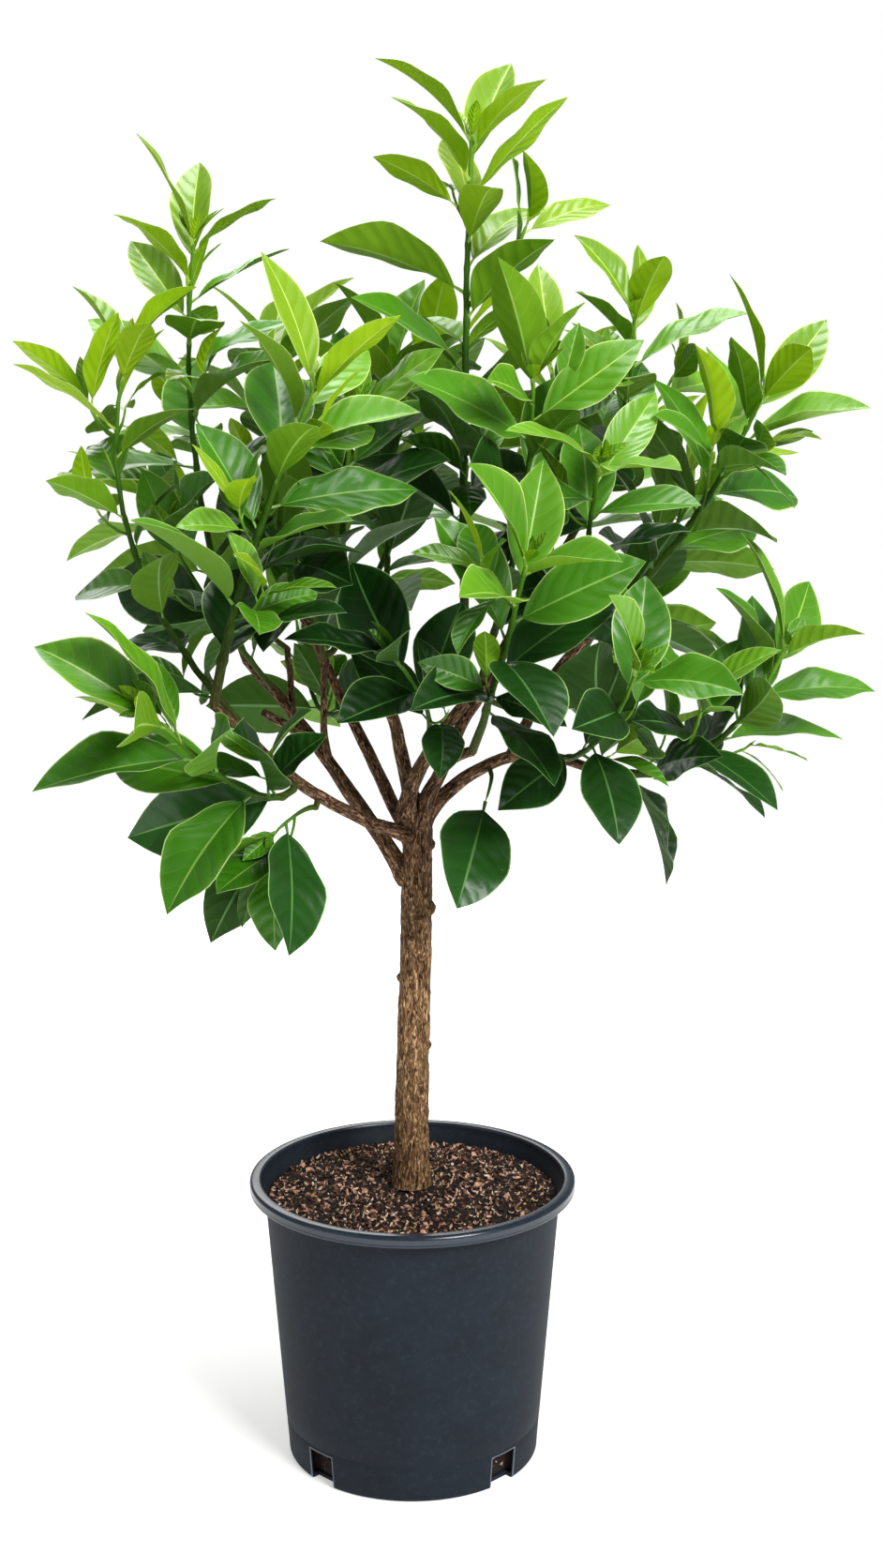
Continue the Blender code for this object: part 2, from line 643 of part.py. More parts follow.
def grow_leaves(owner, path, bare, count, leaf_length, tip_side, rng, space, crown):
    """Leaves stand in a spiral, upright and crowded at the tip, spreading lower down."""
    leaves = []
    path_frames = frames(path)
    for step in range(count):
        share = (count - step) / count
        crowded = 1.0 - (1.0 - share) ** TIP_CROWDING
        place = bare + (1.0 - bare) * crowded * LAST_LEAF_PLACE
        base, heading = along(path, place)
        frame = path_frames[round(place * (len(path) - 1))]
        side = tip_side + LEAF_TURN * step + rng.uniform(-TURN_SPREAD, TURN_SPREAD)
        angle = TIP_ANGLE + (FOOT_ANGLE - TIP_ANGLE) * math.sqrt(1.0 - share)
        angle += rng.uniform(-ANGLE_SPREAD, ANGLE_SPREAD)
        length = leaf_length * (LONGEST_SHARE - TIP_SHORTENING * share ** 3)
        length *= 1.0 + rng.uniform(-LENGTH_SPREAD, LENGTH_SPREAD)
        droop = LEAF_DROOP * (1.0 - share)
        roll = rng.uniform(-LEAF_ROLL, LEAF_ROLL)
        for turn, angle_share, length_share in LEAF_TRIES:
            out = radial(frame, side + turn)
            leaf = place_leaf(base, heading, out, angle * angle_share,
                              length * length_share, droop, roll)
            if space.holds(midrib(leaf, MIDDLE_SHARE)) and crown.is_clear(owner, leaf):
                crown.add(owner, *leaf_blade(leaf))
                leaves.append(leaf)
                break
    return leaves


def place_leaf(base, heading, out, angle, length, droop, roll):
    """A leaf turns its face up and away from the trunk, towards the light."""
    lean = math.radians(angle)
    pointing = heading * math.cos(lean) + out * math.sin(lean)
    pointing = (pointing - Vector((0.0, 0.0, droop))).normalized()
    face = heading * math.sin(lean) - out * math.cos(lean)
    if face.z < 0.0:
        face.negate()
    outward = Vector((base.x - TRUNK_TOP.x, base.y - TRUNK_TOP.y, 0.0)).normalized()
    face += outward * FACE_OUT + Vector((0.0, 0.0, FACE_UP))
    face = (face - pointing * face.dot(pointing)).normalized()
    return Leaf(base, pointing, Quaternion(pointing, math.radians(roll)) @ face, length)


def leaf_blade(leaf):
    """The leaf beyond its stalk, as points and faces."""
    rows, tip = leaf_outline(leaf)
    points = [corner for row in rows for corner in row] + [tip]
    faces = [(0, 1, 2, 3)]
    for i in range(4):
        j = (i + 1) % 4
        faces += [(i, j, 4 + j, 4 + i), (4 + i, 4 + j, 8 + j, 8 + i), (8 + i, 8 + j, 12)]
    return points, faces


def make_shoots(group, limbs, green):
    """Every stem stands first; then the leaves grow, shoot by shoot."""
    crown = Crown()
    for _, _, room in limbs.values():
        crown.add_mesh("boughs", room.data)
    grown = {}
    for shoot in SHOOTS:
        path, foot_normal = shoot_path(shoot, limbs)
        paths = [path] + [twig_path(path, Twig(*twig)) for twig in shoot.twigs]
        meshes = [stem_mesh(shoot.name, path, stem_radii(shoot), foot_normal)]
        meshes += [stem_mesh("twig", twig, twig_radii()) for twig in paths[1:]]
        for mesh in meshes:
            crown.add_mesh(shoot.name, mesh)
        grown[shoot.name] = (paths, meshes)
    for shoot in SHOOTS:
        paths, meshes = grown[shoot.name]
        others = [path for name, (stems, _) in grown.items() if name != shoot.name
                  for path in stems]
        space = Space(paths, others)
        rng = random.Random(shoot.name)
        leaves = grow_leaves(shoot.name, paths[0], shoot.bare, shoot.leaves,
                             shoot.leaf_length, shoot.tip_side, rng, space, crown)
        for path, row in zip(paths[1:], shoot.twigs):
            leaves += grow_leaves(shoot.name, path, TWIG_BARE, Twig(*row).leaves,
                                  TWIG_LEAF_SHARE * shoot.leaf_length,
                                  rng.uniform(0.0, 360.0), rng, space, crown)
        join_shoot(shoot.name, meshes, leaves, group, green)


def stem_radii(shoot):
    rings = STEM_RINGS if shoot.place == 1.0 else STEM_RINGS + 1
    return even_radii(shoot.radius, TIP_TAPER * shoot.radius, rings)


def twig_radii():
    return even_radii(TWIG_RADIUS, TWIG_TAPER * TWIG_RADIUS, TWIG_RINGS)


def join_shoot(name, stems, leaves, group, green):
    """Fuses a shoot's twigs and leaves to its stem by one union on a collection."""
    pieces = new_collection(name + "_pieces")
    for mesh in stems[1:] + [leaf_mesh(leaf) for leaf in leaves]:
        add_object(mesh.name, mesh, pieces)
    shoot = add_object(name, stems[0], group, green)
    join = shoot.modifiers.new("join", "BOOLEAN")
    join.operation = "UNION"
    join.operand_type = "COLLECTION"
    join.collection = pieces
    joined = evaluated_mesh(shoot)
    shoot.modifiers.clear()
    shoot.data = joined
    joined.materials.clear()
    joined.materials.append(green)
    for piece in list(pieces.objects):
        bpy.data.objects.remove(piece, do_unlink=True)
    bpy.data.collections.remove(pieces)


def main():
    clear_scene()
    group = new_collection(OBJECT_NAME)
    cutters = new_collection("cutters")
    bark = new_material("citrus_bark", BARK, 0.85)
    green = new_material("citrus_leaf", LEAF_GREEN, 0.42)
    make_pot(group, cutters)
    make_soil(group)
    trunk = make_trunk(group, cutters, bark)
    limbs = make_boughs(group, cutters, bark, trunk)
    make_shoots(group, limbs, green)


main()
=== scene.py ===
"""Looks for a potted half-standard citrus tree: pot, compost, bark, shoots and leaves."""
import math
import random

import bmesh
import bpy
from mathutils import Matrix, Quaternion, Vector, noise
from mathutils.bvhtree import BVHTree


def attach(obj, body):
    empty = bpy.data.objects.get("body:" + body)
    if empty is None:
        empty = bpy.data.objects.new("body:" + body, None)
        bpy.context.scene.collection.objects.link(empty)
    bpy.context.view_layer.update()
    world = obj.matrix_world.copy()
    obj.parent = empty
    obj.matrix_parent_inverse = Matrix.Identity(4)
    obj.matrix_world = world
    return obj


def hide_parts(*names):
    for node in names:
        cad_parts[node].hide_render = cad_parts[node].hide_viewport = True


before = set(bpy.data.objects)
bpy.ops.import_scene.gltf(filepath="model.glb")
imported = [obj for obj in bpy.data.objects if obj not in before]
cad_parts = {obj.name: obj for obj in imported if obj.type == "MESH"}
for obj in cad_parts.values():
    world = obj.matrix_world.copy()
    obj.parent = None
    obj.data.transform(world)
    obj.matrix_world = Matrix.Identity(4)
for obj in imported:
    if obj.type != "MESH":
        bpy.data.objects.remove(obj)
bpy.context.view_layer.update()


# ---------------------------------------------------------------- studio
# A round sheet of matt white paper for a floor, lit by one strong soft panel from the
# upper right front, weaker ones from the left, above and behind, and an even white
# surround.
FLOOR_RADIUS = 2.6
FLOOR_SIDES = 96
FLOOR_GLOW = 0.46
SURROUND_LIGHT = 0.24
# Each panel: name, width and height, watts, where it hangs, the height it aims at.
PANELS = (
    ("key_panel", (1.4, 1.4), 146.0, (1.9, -2.6, 2.7), 0.75),
    ("fill_panel", (2.0, 2.4), 5.0, (-2.6, -1.6, 1.5), 0.70),
    ("top_panel", (1.5, 1.5), 70.0, (0.2, 0.4, 3.4), 0.80),
    ("back_panel", (2.0, 1.6), 34.0, (-0.8, 2.9, 2.2), 0.75),
)
LENS_LENGTH = 54.04
CAMERA_SPOT = (0.0245, -1.915, 0.9882)
CAMERA_DIP = 11.7


def linear(code):
    """An sRGB hex value as the linear red, green, blue and alpha that shaders take."""
    parts = [int(code[i:i + 2], 16) / 255.0 for i in (0, 2, 4)]
    return [p / 12.92 if p <= 0.04045 else ((p + 0.055) / 1.055) ** 2.4
            for p in parts] + [1.0]


def feed(node, inputs):
    """Sets a node's inputs, by name or in order, to plain values, or links them to a
    socket or to the first output in use of another node."""
    for name, value in inputs.items() if isinstance(inputs, dict) else enumerate(inputs):
        if isinstance(value, bpy.types.Node):
            value = next(output for output in value.outputs if output.enabled)
        if isinstance(value, bpy.types.NodeSocket):
            node.id_data.links.new(value, node.inputs[name])
        else:
            node.inputs[name].default_value = value


def add(tree, kind, inputs=(), **settings):
    """One more node, with its settings and its inputs; shader kinds go by short names."""
    node = tree.nodes.new(kind if "Node" in kind else "ShaderNode" + kind)
    for name, value in settings.items():
        setattr(node, name, value)
    feed(node, inputs)
    return node


def new_material(name, roughness, ior):
    """A Principled surface, with its node tree and its shader."""
    material = bpy.data.materials.new(name)
    material.use_nodes = True
    shader = material.node_tree.nodes["Principled BSDF"]
    feed(shader, {"Roughness": roughness, "IOR": ior})
    return material, material.node_tree, shader


def place(name, data):
    item = bpy.data.objects.new(name, data)
    bpy.context.scene.collection.objects.link(item)
    return item


def new_mesh(name, points, faces, edges=()):
    mesh = bpy.data.meshes.new(name)
    mesh.from_pydata(points, edges, faces)
    return mesh


def on_circle(radius, degrees, height):
    turn = math.radians(degrees)
    return Vector((radius * math.cos(turn), radius * math.sin(turn), height))


floor = place("paper_floor", new_mesh(
    "paper_floor", [on_circle(FLOOR_RADIUS, 360.0 * i / FLOOR_SIDES, 0.0)
                    for i in range(FLOOR_SIDES)], [tuple(range(FLOOR_SIDES))]))
paper, tree, shader = new_material("matt_white_paper", 0.9, 1.5)
grain = add(tree, "TexNoise", {"Scale": 4.0, "Detail": 2.0})
tint = add(tree, "Mix", {"Factor": grain, "A": linear("FBFBFA"), "B": linear("F6F6F5")},
           data_type="RGBA")
feed(shader, {"Base Color": tint, "Emission Color": tint, "Emission Strength": FLOOR_GLOW})
floor.data.materials.append(paper)

for name, size, watts, spot, aim in PANELS:
    lamp = bpy.data.lights.new(name, "AREA")
    lamp.shape = "RECTANGLE"
    lamp.size, lamp.size_y = size
    lamp.energy = watts
    panel = place(name, lamp)
    panel.location = spot
    heading = Vector((0.0, 0.0, aim)) - Vector(spot)
    panel.rotation_euler = heading.to_track_quat("-Z", "Y").to_euler()

# The surround lights the plant softly, and shows as plain white behind it.
surround = bpy.data.worlds.new("white_surround")
surround.use_nodes = True
tree = surround.node_tree
light = tree.nodes["Background"]
feed(light, {"Color": linear("FFFFFF"), "Strength": SURROUND_LIGHT})
backdrop = add(tree, "Background", {"Color": linear("FFFFFF")})
seen = add(tree, "LightPath").outputs["Is Camera Ray"]
feed(tree.nodes["World Output"], {"Surface": add(tree, "MixShader", [seen, light, backdrop])})
bpy.context.scene.world = surround
bpy.context.scene.view_settings.view_transform = "Standard"

lens = bpy.data.cameras.new("camera")
lens.lens = LENS_LENGTH
lens.sensor_width = 36.0
lens.clip_end = 30.0
camera = place("camera", lens)
camera.location = CAMERA_SPOT
camera.rotation_euler = (math.radians(90.0 - CAMERA_DIP), 0.0, 0.0)
bpy.context.scene.camera = camera


# ---------------------------------------------------------------- pot
# A round nursery pot, injection-moulded in black polypropylene: a thin tapering wall, a
# rolled rim, four drain notches at the foot and a fine parting line above them.
POT_HEIGHT = 0.249
FOOT_RADIUS = 0.1084
WALL_TOP_RADIUS = 0.1272
RIM_RADIUS = 0.140
RIM_MOUTH_RADIUS = 0.1302
RIM_DEPTH = 0.010
BAND_FOOT = POT_HEIGHT - RIM_DEPTH
WALL = 0.0022
WALL_SLOPE = (WALL_TOP_RADIUS - FOOT_RADIUS) / BAND_FOOT
FLOOR = 0.0035
POT_SEGMENTS = 144
# How tightly the profile bends at the foot, mouth, shoulder, lip and neck.
FOOT_BEND, MOUTH_BEND, SHOULDER_BEND, LIP_BEND, NECK_BEND = 0.003, 0.002, 0.0036, 0.001, 0.0018
NOTCH_ANGLES = (45.0, 135.0, 225.0, 315.0)
NOTCH_WIDTH = 0.027
NOTCH_HEIGHT = 0.029
NOTCH_DEPTH = 0.009
CUTTER_LENGTH = 0.024
PARTING_HEIGHT = 0.0325
PARTING_STEP = 0.0003
PARTING_OFFSET = 0.0001
EDGE_BAND_WIDTH = 0.0009
EDGE_HIGHLIGHT_SHARE = 0.85
FLOW_SIZE = 0.045
DUST_SIZE = 0.006
SHEEN_SWING = 0.08


def wall_radius(height):
    return FOOT_RADIUS + WALL_SLOPE * height


def arc(centre_radius, centre_height, bend, start, end, steps):
    """Profile points round a bend, from one angle to another."""
    turns = [math.radians(start + (end - start) * i / steps) for i in range(steps + 1)]
    return [(centre_radius + bend * math.cos(a), centre_height + bend * math.sin(a))
            for a in turns]


def modify(item, kind, **settings):
    modifier = item.modifiers.new(kind.lower(), kind)
    for name, value in settings.items():
        setattr(modifier, name, value)
    return modifier


def evaluated(item):
    """The object's mesh with its modifiers, which are then taken off."""
    mesh = bpy.data.meshes.new_from_object(
        item.evaluated_get(bpy.context.evaluated_depsgraph_get()))
    item.modifiers.clear()
    item.data = mesh
    return mesh


# The profile runs from the middle of the floor up the inside, over the rim, down the
# outside, across the parting line and back to the middle of the underside.
inner_foot = FLOOR + FOOT_BEND
pot_line = [(0.0, FLOOR), (wall_radius(FLOOR) - WALL - FOOT_BEND, FLOOR)]
pot_line += arc(wall_radius(inner_foot) - WALL - FOOT_BEND, inner_foot, FOOT_BEND, -90, 0, 3)
pot_line += [(wall_radius(z) - WALL, z) for z in (0.06, 0.12, 0.18, 0.225, BAND_FOOT - 0.003)]
pot_line += [(RIM_MOUTH_RADIUS - 0.0016, BAND_FOOT + 0.002),
             (RIM_MOUTH_RADIUS - 0.0003, POT_HEIGHT - 0.0028)]
pot_line += arc(RIM_MOUTH_RADIUS + 0.0017, POT_HEIGHT - MOUTH_BEND, MOUTH_BEND, 170, 90, 4)
pot_line += arc(RIM_RADIUS - SHOULDER_BEND, POT_HEIGHT - SHOULDER_BEND, SHOULDER_BEND, 90, 0, 7)
pot_line += [(RIM_RADIUS - 0.0006, BAND_FOOT + 0.0030),
             (RIM_RADIUS - 0.0004, BAND_FOOT + 0.0022)]
pot_line += arc(RIM_RADIUS - 0.0012, BAND_FOOT + LIP_BEND, LIP_BEND, 20, -90, 4)
pot_line += [(RIM_RADIUS - 0.0050, BAND_FOOT + 0.0004),
             (wall_radius(BAND_FOOT) + 0.0022, BAND_FOOT - 0.0002)]
pot_line += arc(wall_radius(BAND_FOOT) + NECK_BEND, BAND_FOOT - 0.0022, NECK_BEND, 110, 180, 3)
pot_line += [(wall_radius(z), z) for z in (0.20, 0.16, 0.12, 0.08, 0.05)]
pot_line += [(wall_radius(PARTING_HEIGHT + off) - step, PARTING_HEIGHT + rise)
             for off, rise, step in ((0.0006, 0.0006, 0.0), (0.0, 0.0002, PARTING_STEP),
                                     (0.0, -0.0002, PARTING_STEP),
                                     (-0.0006, -0.0006, PARTING_OFFSET))]
pot_line += [(wall_radius(z) - PARTING_OFFSET, z) for z in (0.022, 0.012)]
pot_line += arc(wall_radius(FOOT_BEND) - FOOT_BEND, FOOT_BEND, FOOT_BEND, 0, -90, 5)
pot_line += [(0.0, 0.0)]

pot = place("nursery_pot", new_mesh("nursery_pot", [(x, 0.0, z) for x, z in pot_line], (),
                                    [(i, i + 1) for i in range(len(pot_line) - 1)]))
modify(pot, "SCREW", steps=POT_SEGMENTS, render_steps=POT_SEGMENTS, use_merge_vertices=True,
       merge_threshold=0.00001, use_smooth_shade=True)
cutters = []
for angle in NOTCH_ANGLES:
    shell = bmesh.new()
    bmesh.ops.create_cube(shell, size=1.0, matrix=(
        Matrix.Rotation(math.radians(angle), 4, "Z")
        @ Matrix.Translation((FOOT_RADIUS - NOTCH_DEPTH + 0.5 * CUTTER_LENGTH, 0.0, 0.0))
        @ Matrix.Diagonal((CUTTER_LENGTH, NOTCH_WIDTH, 2.0 * NOTCH_HEIGHT, 1.0))))
    block = bpy.data.meshes.new("notch_cutter")
    shell.to_mesh(block)
    shell.free()
    cutters.append(place("notch_cutter", block))
    modify(pot, "BOOLEAN", operation="DIFFERENCE", object=cutters[-1])
evaluated(pot)
for cutter in cutters:
    bpy.data.objects.remove(cutter, do_unlink=True)
modify(pot, "BEVEL", width=0.5 * EDGE_BAND_WIDTH, segments=2, limit_method="ANGLE",
       angle_limit=math.radians(50.0))
pot_mesh = evaluated(pot)
pot_mesh.set_sharp_from_angle(angle=math.radians(40.0))


def moulded_finish(name, low, high, dusty, roughness, gloss):
    """Moulded polypropylene: charcoal with faint flow marks and a film of dust, and a
    painted highlight, a pale line, along the edges of the notches."""
    plastic, tree, shader = new_material(name, roughness, 1.49)
    spot = add(tree, "TexCoord").outputs["Object"]
    flow = add(tree, "TexNoise", {"Vector": spot, "Scale": 1.0 / FLOW_SIZE, "Detail": 5.0,
                                  "Roughness": 0.70})
    dust = add(tree, "TexNoise", {"Vector": spot, "Scale": 1.0 / DUST_SIZE, "Detail": 3.0,
                                  "Roughness": 0.7})
    film = add(tree, "MapRange", {"Value": dust, "From Min": 0.52, "From Max": 0.80,
                                  "To Max": 0.15})
    # The painted edge highlight lies on the outside, low enough and near one of the diagonals.
    aside = add(tree, "VectorMath", [spot], operation="ABSOLUTE")
    axes = add(tree, "SeparateXYZ", [aside]).outputs
    flat = add(tree, "VectorMath", [spot, (1.0, 1.0, 0.0)], operation="MULTIPLY")
    known = {"x": axes["X"], "y": axes["Y"], "z": axes["Z"],
             "reach": add(tree, "VectorMath", [flat], operation="LENGTH")}
    for step, operation, *values in (
            ("across", "SUBTRACT", "x", "y"),
            ("beside", "ABSOLUTE", "across"),
            ("near_side", "LESS_THAN", "beside",
             math.sqrt(2.0) * (0.5 * NOTCH_WIDTH + EDGE_BAND_WIDTH)),
            ("near_top", "LESS_THAN", "z", NOTCH_HEIGHT + EDGE_BAND_WIDTH),
            ("wall", "MULTIPLY_ADD", "z", WALL_SLOPE, FOOT_RADIUS - EDGE_BAND_WIDTH),
            ("outside", "GREATER_THAN", "reach", "wall"),
            ("at_notch", "MULTIPLY", "near_side", "near_top"),
            ("at_edge", "MULTIPLY", "at_notch", "outside"),
            ("rubbed", "MULTIPLY", "at_edge", EDGE_HIGHLIGHT_SHARE)):
        known[step] = add(tree, "Math", [known.get(value, value) for value in values],
                          operation=operation)
    # Flow marks and dust are the plastic's own; the pale 76828E at the notch edges is a painted
    # highlight.
    tint = linear(low)
    for share, code in ((flow, high), (film, dusty), (known["rubbed"], "76828E")):
        tint = add(tree, "Mix", {"Factor": share, "A": tint, "B": linear(code)},
                   data_type="RGBA")
    sheen = add(tree, "MapRange", {"Value": flow, "To Min": roughness - SHEEN_SWING,
                                   "To Max": roughness + SHEEN_SWING})
    skin = add(tree, "Bump", {"Height": dust, "Strength": 0.12, "Distance": 0.0004})
    feed(shader, {"Base Color": tint, "Specular IOR Level": gloss, "Roughness": sheen,
                  "Normal": skin})
    return plastic


# The wall is satin; the rim keeps the mould's polish, and its colours are a little paler and bluer
# than the wall's, a painted highlight for the pale band along the rim.
pot_mesh.materials.clear()
for row in (("satin_black_polypropylene", "0D1218", "252D37", "4D5660", 0.66, 0.16),
            ("polished_polypropylene_rim", "121B26", "222E3C", "4C5A6A", 0.24, 0.60)):
    pot_mesh.materials.append(moulded_finish(*row))
for face in pot_mesh.polygons:
    x, y, z = face.center
    if z > BAND_FOOT - 0.0004 and math.hypot(x, y) > RIM_MOUTH_RADIUS - 0.0005:
        face.material_index = 1
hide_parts("pot")
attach(pot, "root")


# ---------------------------------------------------------------- compost
# Bark and peat compost tipped in loose to just under the rim: a dark crumb with chips
# and curls of brown bark, a few grains of white perlite, and more showing at the notches.
SOIL_EDGE_Z = 0.2330
SOIL_TOP_Z = 0.2365
SOIL_GAP = 0.0006
SOIL_EDGE = WALL_SLOPE * SOIL_EDGE_Z + FOOT_RADIUS - WALL - SOIL_GAP
CRUMB_RINGS = 60
CRUMB_SIDES = 180
CRUMB_SINK = 0.0012
# The crumb's slow and quick unevenness: height, and waves a metre.
HEAPS = (0.0016, 45.0)
CRUMBS = (0.0011, 260.0)
PLUG_HEIGHTS = (0.20, 0.12, 0.06, 0.034, 0.027, 0.014, 0.0045)
NOTCH_SINK = 0.0075
NOTCH_HALF_TURN = 11.0
CRUMB_SIZE = 0.0035


def soil_height(share):
    """The heap's height at a share of the way from the middle to the wall."""
    return SOIL_TOP_Z + (SOIL_EDGE_Z - SOIL_TOP_Z) * share ** 2


def bands(rings, sides):
    """The faces between rings of points, each ring following on from the last."""
    return [(ring + k, ring + sides + k, ring + sides + (k + 1) % sides, ring + (k + 1) % sides)
            for ring in range(0, (rings - 1) * sides, sides) for k in range(sides)]


def closed(mesh):
    """Merges doubled points, turns every face outwards and shades the mesh smooth."""
    shell = bmesh.new()
    shell.from_mesh(mesh)
    bmesh.ops.remove_doubles(shell, verts=shell.verts, dist=0.00001)
    bmesh.ops.recalc_face_normals(shell, faces=shell.faces)
    shell.to_mesh(mesh)
    shell.free()
    mesh.shade_smooth()


soil_points = []
crumb_turns = [math.degrees(2.0 * math.pi * k / CRUMB_SIDES) for k in range(CRUMB_SIDES)]
for ring in range(CRUMB_RINGS + 1):
    share = ring / CRUMB_RINGS
    for degrees in crumb_turns:
        point = on_circle(share * SOIL_EDGE, degrees, 0.0)
        height = soil_height(share) - CRUMB_SINK
        height += HEAPS[0] * noise.fractal(point * HEAPS[1], 1.0, 2.0, 3)
        point.z = 0.3
        height += CRUMBS[0] * noise.noise(point * CRUMBS[1])
        point.z = height
        soil_points.append(point)
for height in PLUG_HEIGHTS:
    for degrees in crumb_turns:
        off_notch = min(abs(degrees - angle) for angle in NOTCH_ANGLES)
        at_notch = height < NOTCH_HEIGHT and off_notch < NOTCH_HALF_TURN
        radius = wall_radius(height) - WALL - SOIL_GAP - (NOTCH_SINK if at_notch else 0.0)
        soil_points.append(on_circle(radius, degrees, height))
soil_faces = bands(len(soil_points) // CRUMB_SIDES, CRUMB_SIDES)
soil_faces.append(tuple(reversed(range(len(soil_points) - CRUMB_SIDES, len(soil_points)))))
soil = place("compost_crumb", new_mesh("compost_crumb", soil_points, soil_faces))
closed(soil.data)

# Moist peat: nearly black brown, matt, with lighter crumbs a few millimetres across.
peat, tree, shader = new_material("moist_peat_crumb", 0.93, 1.4)
spot = add(tree, "TexCoord").outputs["Object"]
crumbs = add(tree, "TexVoronoi", {"Vector": spot, "Scale": 1.0 / CRUMB_SIZE})
tint = add(tree, "Mix", {"Factor": crumbs, "A": linear("261912"), "B": linear("0E0907")},
           data_type="RGBA")
skin = add(tree, "Bump", {"Height": crumbs, "Strength": 0.6, "Distance": 0.0012})
feed(shader, {"Base Color": tint, "Normal": skin})
soil.data.materials.append(peat)
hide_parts("compost")
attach(soil, "root")

# Each kind of chip: name, size in mm, curl, how many a square metre, spread of sizes,
# tilt, light and dark colour, roughness.
CHIP_KINDS = (
    ("dark_bark_crumbs", (4.4, 3.0, 1.6), 0.3, 52000.0, 0.5, 0.9, "301C15", "0C0604", 0.9),
    ("brown_bark_chips", (4.8, 2.7, 1.2), 0.5, 30000.0, 0.5, 0.8, "84543E", "361E15", 0.85),
    ("tan_bark_curls", (5.0, 1.6, 0.9), 1.4, 24000.0, 0.5, 0.9, "FFDCBC", "A47458", 0.8),
    ("pink_bark_flakes", (6.8, 4.4, 1.4), 0.6, 2800.0, 0.5, 0.6, "E0AC90", "94664E", 0.8),
    ("perlite_grains", (3.0, 2.6, 2.0), 0.0, 1500.0, 0.4, 1.5, "F2EBDC", "C8BDA6", 0.9),
    ("yellow_grains", (3.4, 2.4, 1.3), 0.0, 1500.0, 0.4, 1.5, "D2BA5E", "94833A", 0.85),
)
FIRST_CHIP_SEED = 11
CHIP_SIDES = 6
FIBRE_SIZE = 0.005
BED_SIDES = 96
BED_RADII = (0.0175, 0.045, 0.080, 0.105, SOIL_EDGE - 0.0015)
BED_SHIFT = 0.008
BED_SINK = 0.0006
BED_GAP = 0.0012


def metres(sizes):
    """Sizes written in millimetres, in metres."""
    return [size / 1000.0 for size in sizes]


def chip_shape(name, size, curl, seed):
    """A torn flake of bark: a lens of a few faces, bent, thick in its middle."""
    dice = random.Random(seed)
    length, width, depth = metres(size)
    points = []
    for side in range(CHIP_SIDES):
        turn = 2.0 * math.pi * side / CHIP_SIDES
        reach = 0.5 * dice.uniform(0.75, 1.15)
        x, y = length * reach * math.cos(turn), width * reach * math.sin(turn)
        points.append((x, y, curl * x * x / length + 0.1 * depth * dice.uniform(-1.0, 1.0)))
    points += [(0.0, 0.0, 0.5 * depth), (0.0, 0.0, -0.5 * depth)]
    pairs = [(i, (i + 1) % CHIP_SIDES) for i in range(CHIP_SIDES)]
    faces = [(i, j, CHIP_SIDES) for i, j in pairs] + [(j, i, CHIP_SIDES + 1) for i, j in pairs]
    return place(name, new_mesh(name, points, faces))


def chip_finish(name, light, dark, roughness):
    """Broken bark: a dull fibrous face, in fine lighter and darker patches."""
    material, tree, shader = new_material(name, roughness, 1.45)
    spot = add(tree, "TexCoord").outputs["Object"]
    fibre = add(tree, "TexNoise", {"Vector": spot, "Scale": 1.0 / FIBRE_SIZE, "Detail": 4.0,
                                   "Roughness": 0.6})
    share = add(tree, "MapRange", {"Value": fibre, "From Min": 0.35, "From Max": 0.65})
    tint = add(tree, "Mix", {"Factor": share, "A": linear(dark), "B": linear(light)},
               data_type="RGBA")
    feed(shader, {"Base Color": tint})
    return material


def new_tree(name, inputs, result):
    """An empty geometry tree with these inputs, by name and type, and what they give."""
    tree = bpy.data.node_groups.new(name, "GeometryNodeTree")
    for socket, kind in inputs.items():
        tree.interface.new_socket(socket, in_out="INPUT", socket_type="NodeSocket" + kind)
    tree.interface.new_socket(result, in_out="OUTPUT", socket_type="NodeSocketGeometry")
    return tree, add(tree, "NodeGroupInput").outputs


def grow(item, tree, inputs):
    """Runs a geometry tree on an object, and keeps what it makes as a plain mesh."""
    modifier = modify(item, "NODES", node_group=tree)
    for entry in tree.interface.items_tree:
        if entry.name in inputs:
            modifier[entry.identifier] = inputs[entry.name]
    evaluated(item)


def scatter_tree():
    """Chips lie scattered over a surface, turned every way and part sunk."""
    tree, given = new_tree("scattered_chips", {
        "Surface": "Geometry", "Chip": "Object", "Density": "Float", "Spread": "Float",
        "Tilt": "Float", "Seed": "Int", "Finish": "Material"}, "Chips")
    strewn = add(tree, "GeometryNodeDistributePointsOnFaces", {
        "Mesh": given["Surface"], "Density": given["Density"], "Seed": given["Seed"]})
    flake = add(tree, "GeometryNodeObjectInfo", {"Object": given["Chip"]})
    tilt = given["Tilt"]
    low_tilt = add(tree, "Math", [tilt, -1.0], operation="MULTIPLY")
    tumble = add(tree, "FunctionNodeRandomValue", {
        "Min": add(tree, "CombineXYZ", [low_tilt, low_tilt, 0.0]),
        "Max": add(tree, "CombineXYZ", [tilt, tilt, 2.0 * math.pi]),
        "Seed": given["Seed"]}, data_type="FLOAT_VECTOR")
    lie = add(tree, "FunctionNodeRotateRotation", {
        "Rotation": strewn.outputs["Rotation"],
        "Rotate By": add(tree, "FunctionNodeEulerToRotation", [tumble])},
        rotation_space="LOCAL")
    size = add(tree, "FunctionNodeRandomValue", {
        "Min": add(tree, "Math", [1.0, given["Spread"]], operation="SUBTRACT"),
        "Max": add(tree, "Math", [1.0, given["Spread"]], operation="ADD"),
        "Seed": given["Seed"]}, data_type="FLOAT")
    laid = add(tree, "GeometryNodeInstanceOnPoints", {
        "Points": strewn, "Instance": flake.outputs["Geometry"], "Rotation": lie,
        "Scale": size})
    real = add(tree, "GeometryNodeRealizeInstances", [laid])
    add(tree, "NodeGroupOutput", [add(tree, "GeometryNodeSetMaterial", {
        "Geometry": real, "Material": given["Finish"]})])
    return tree


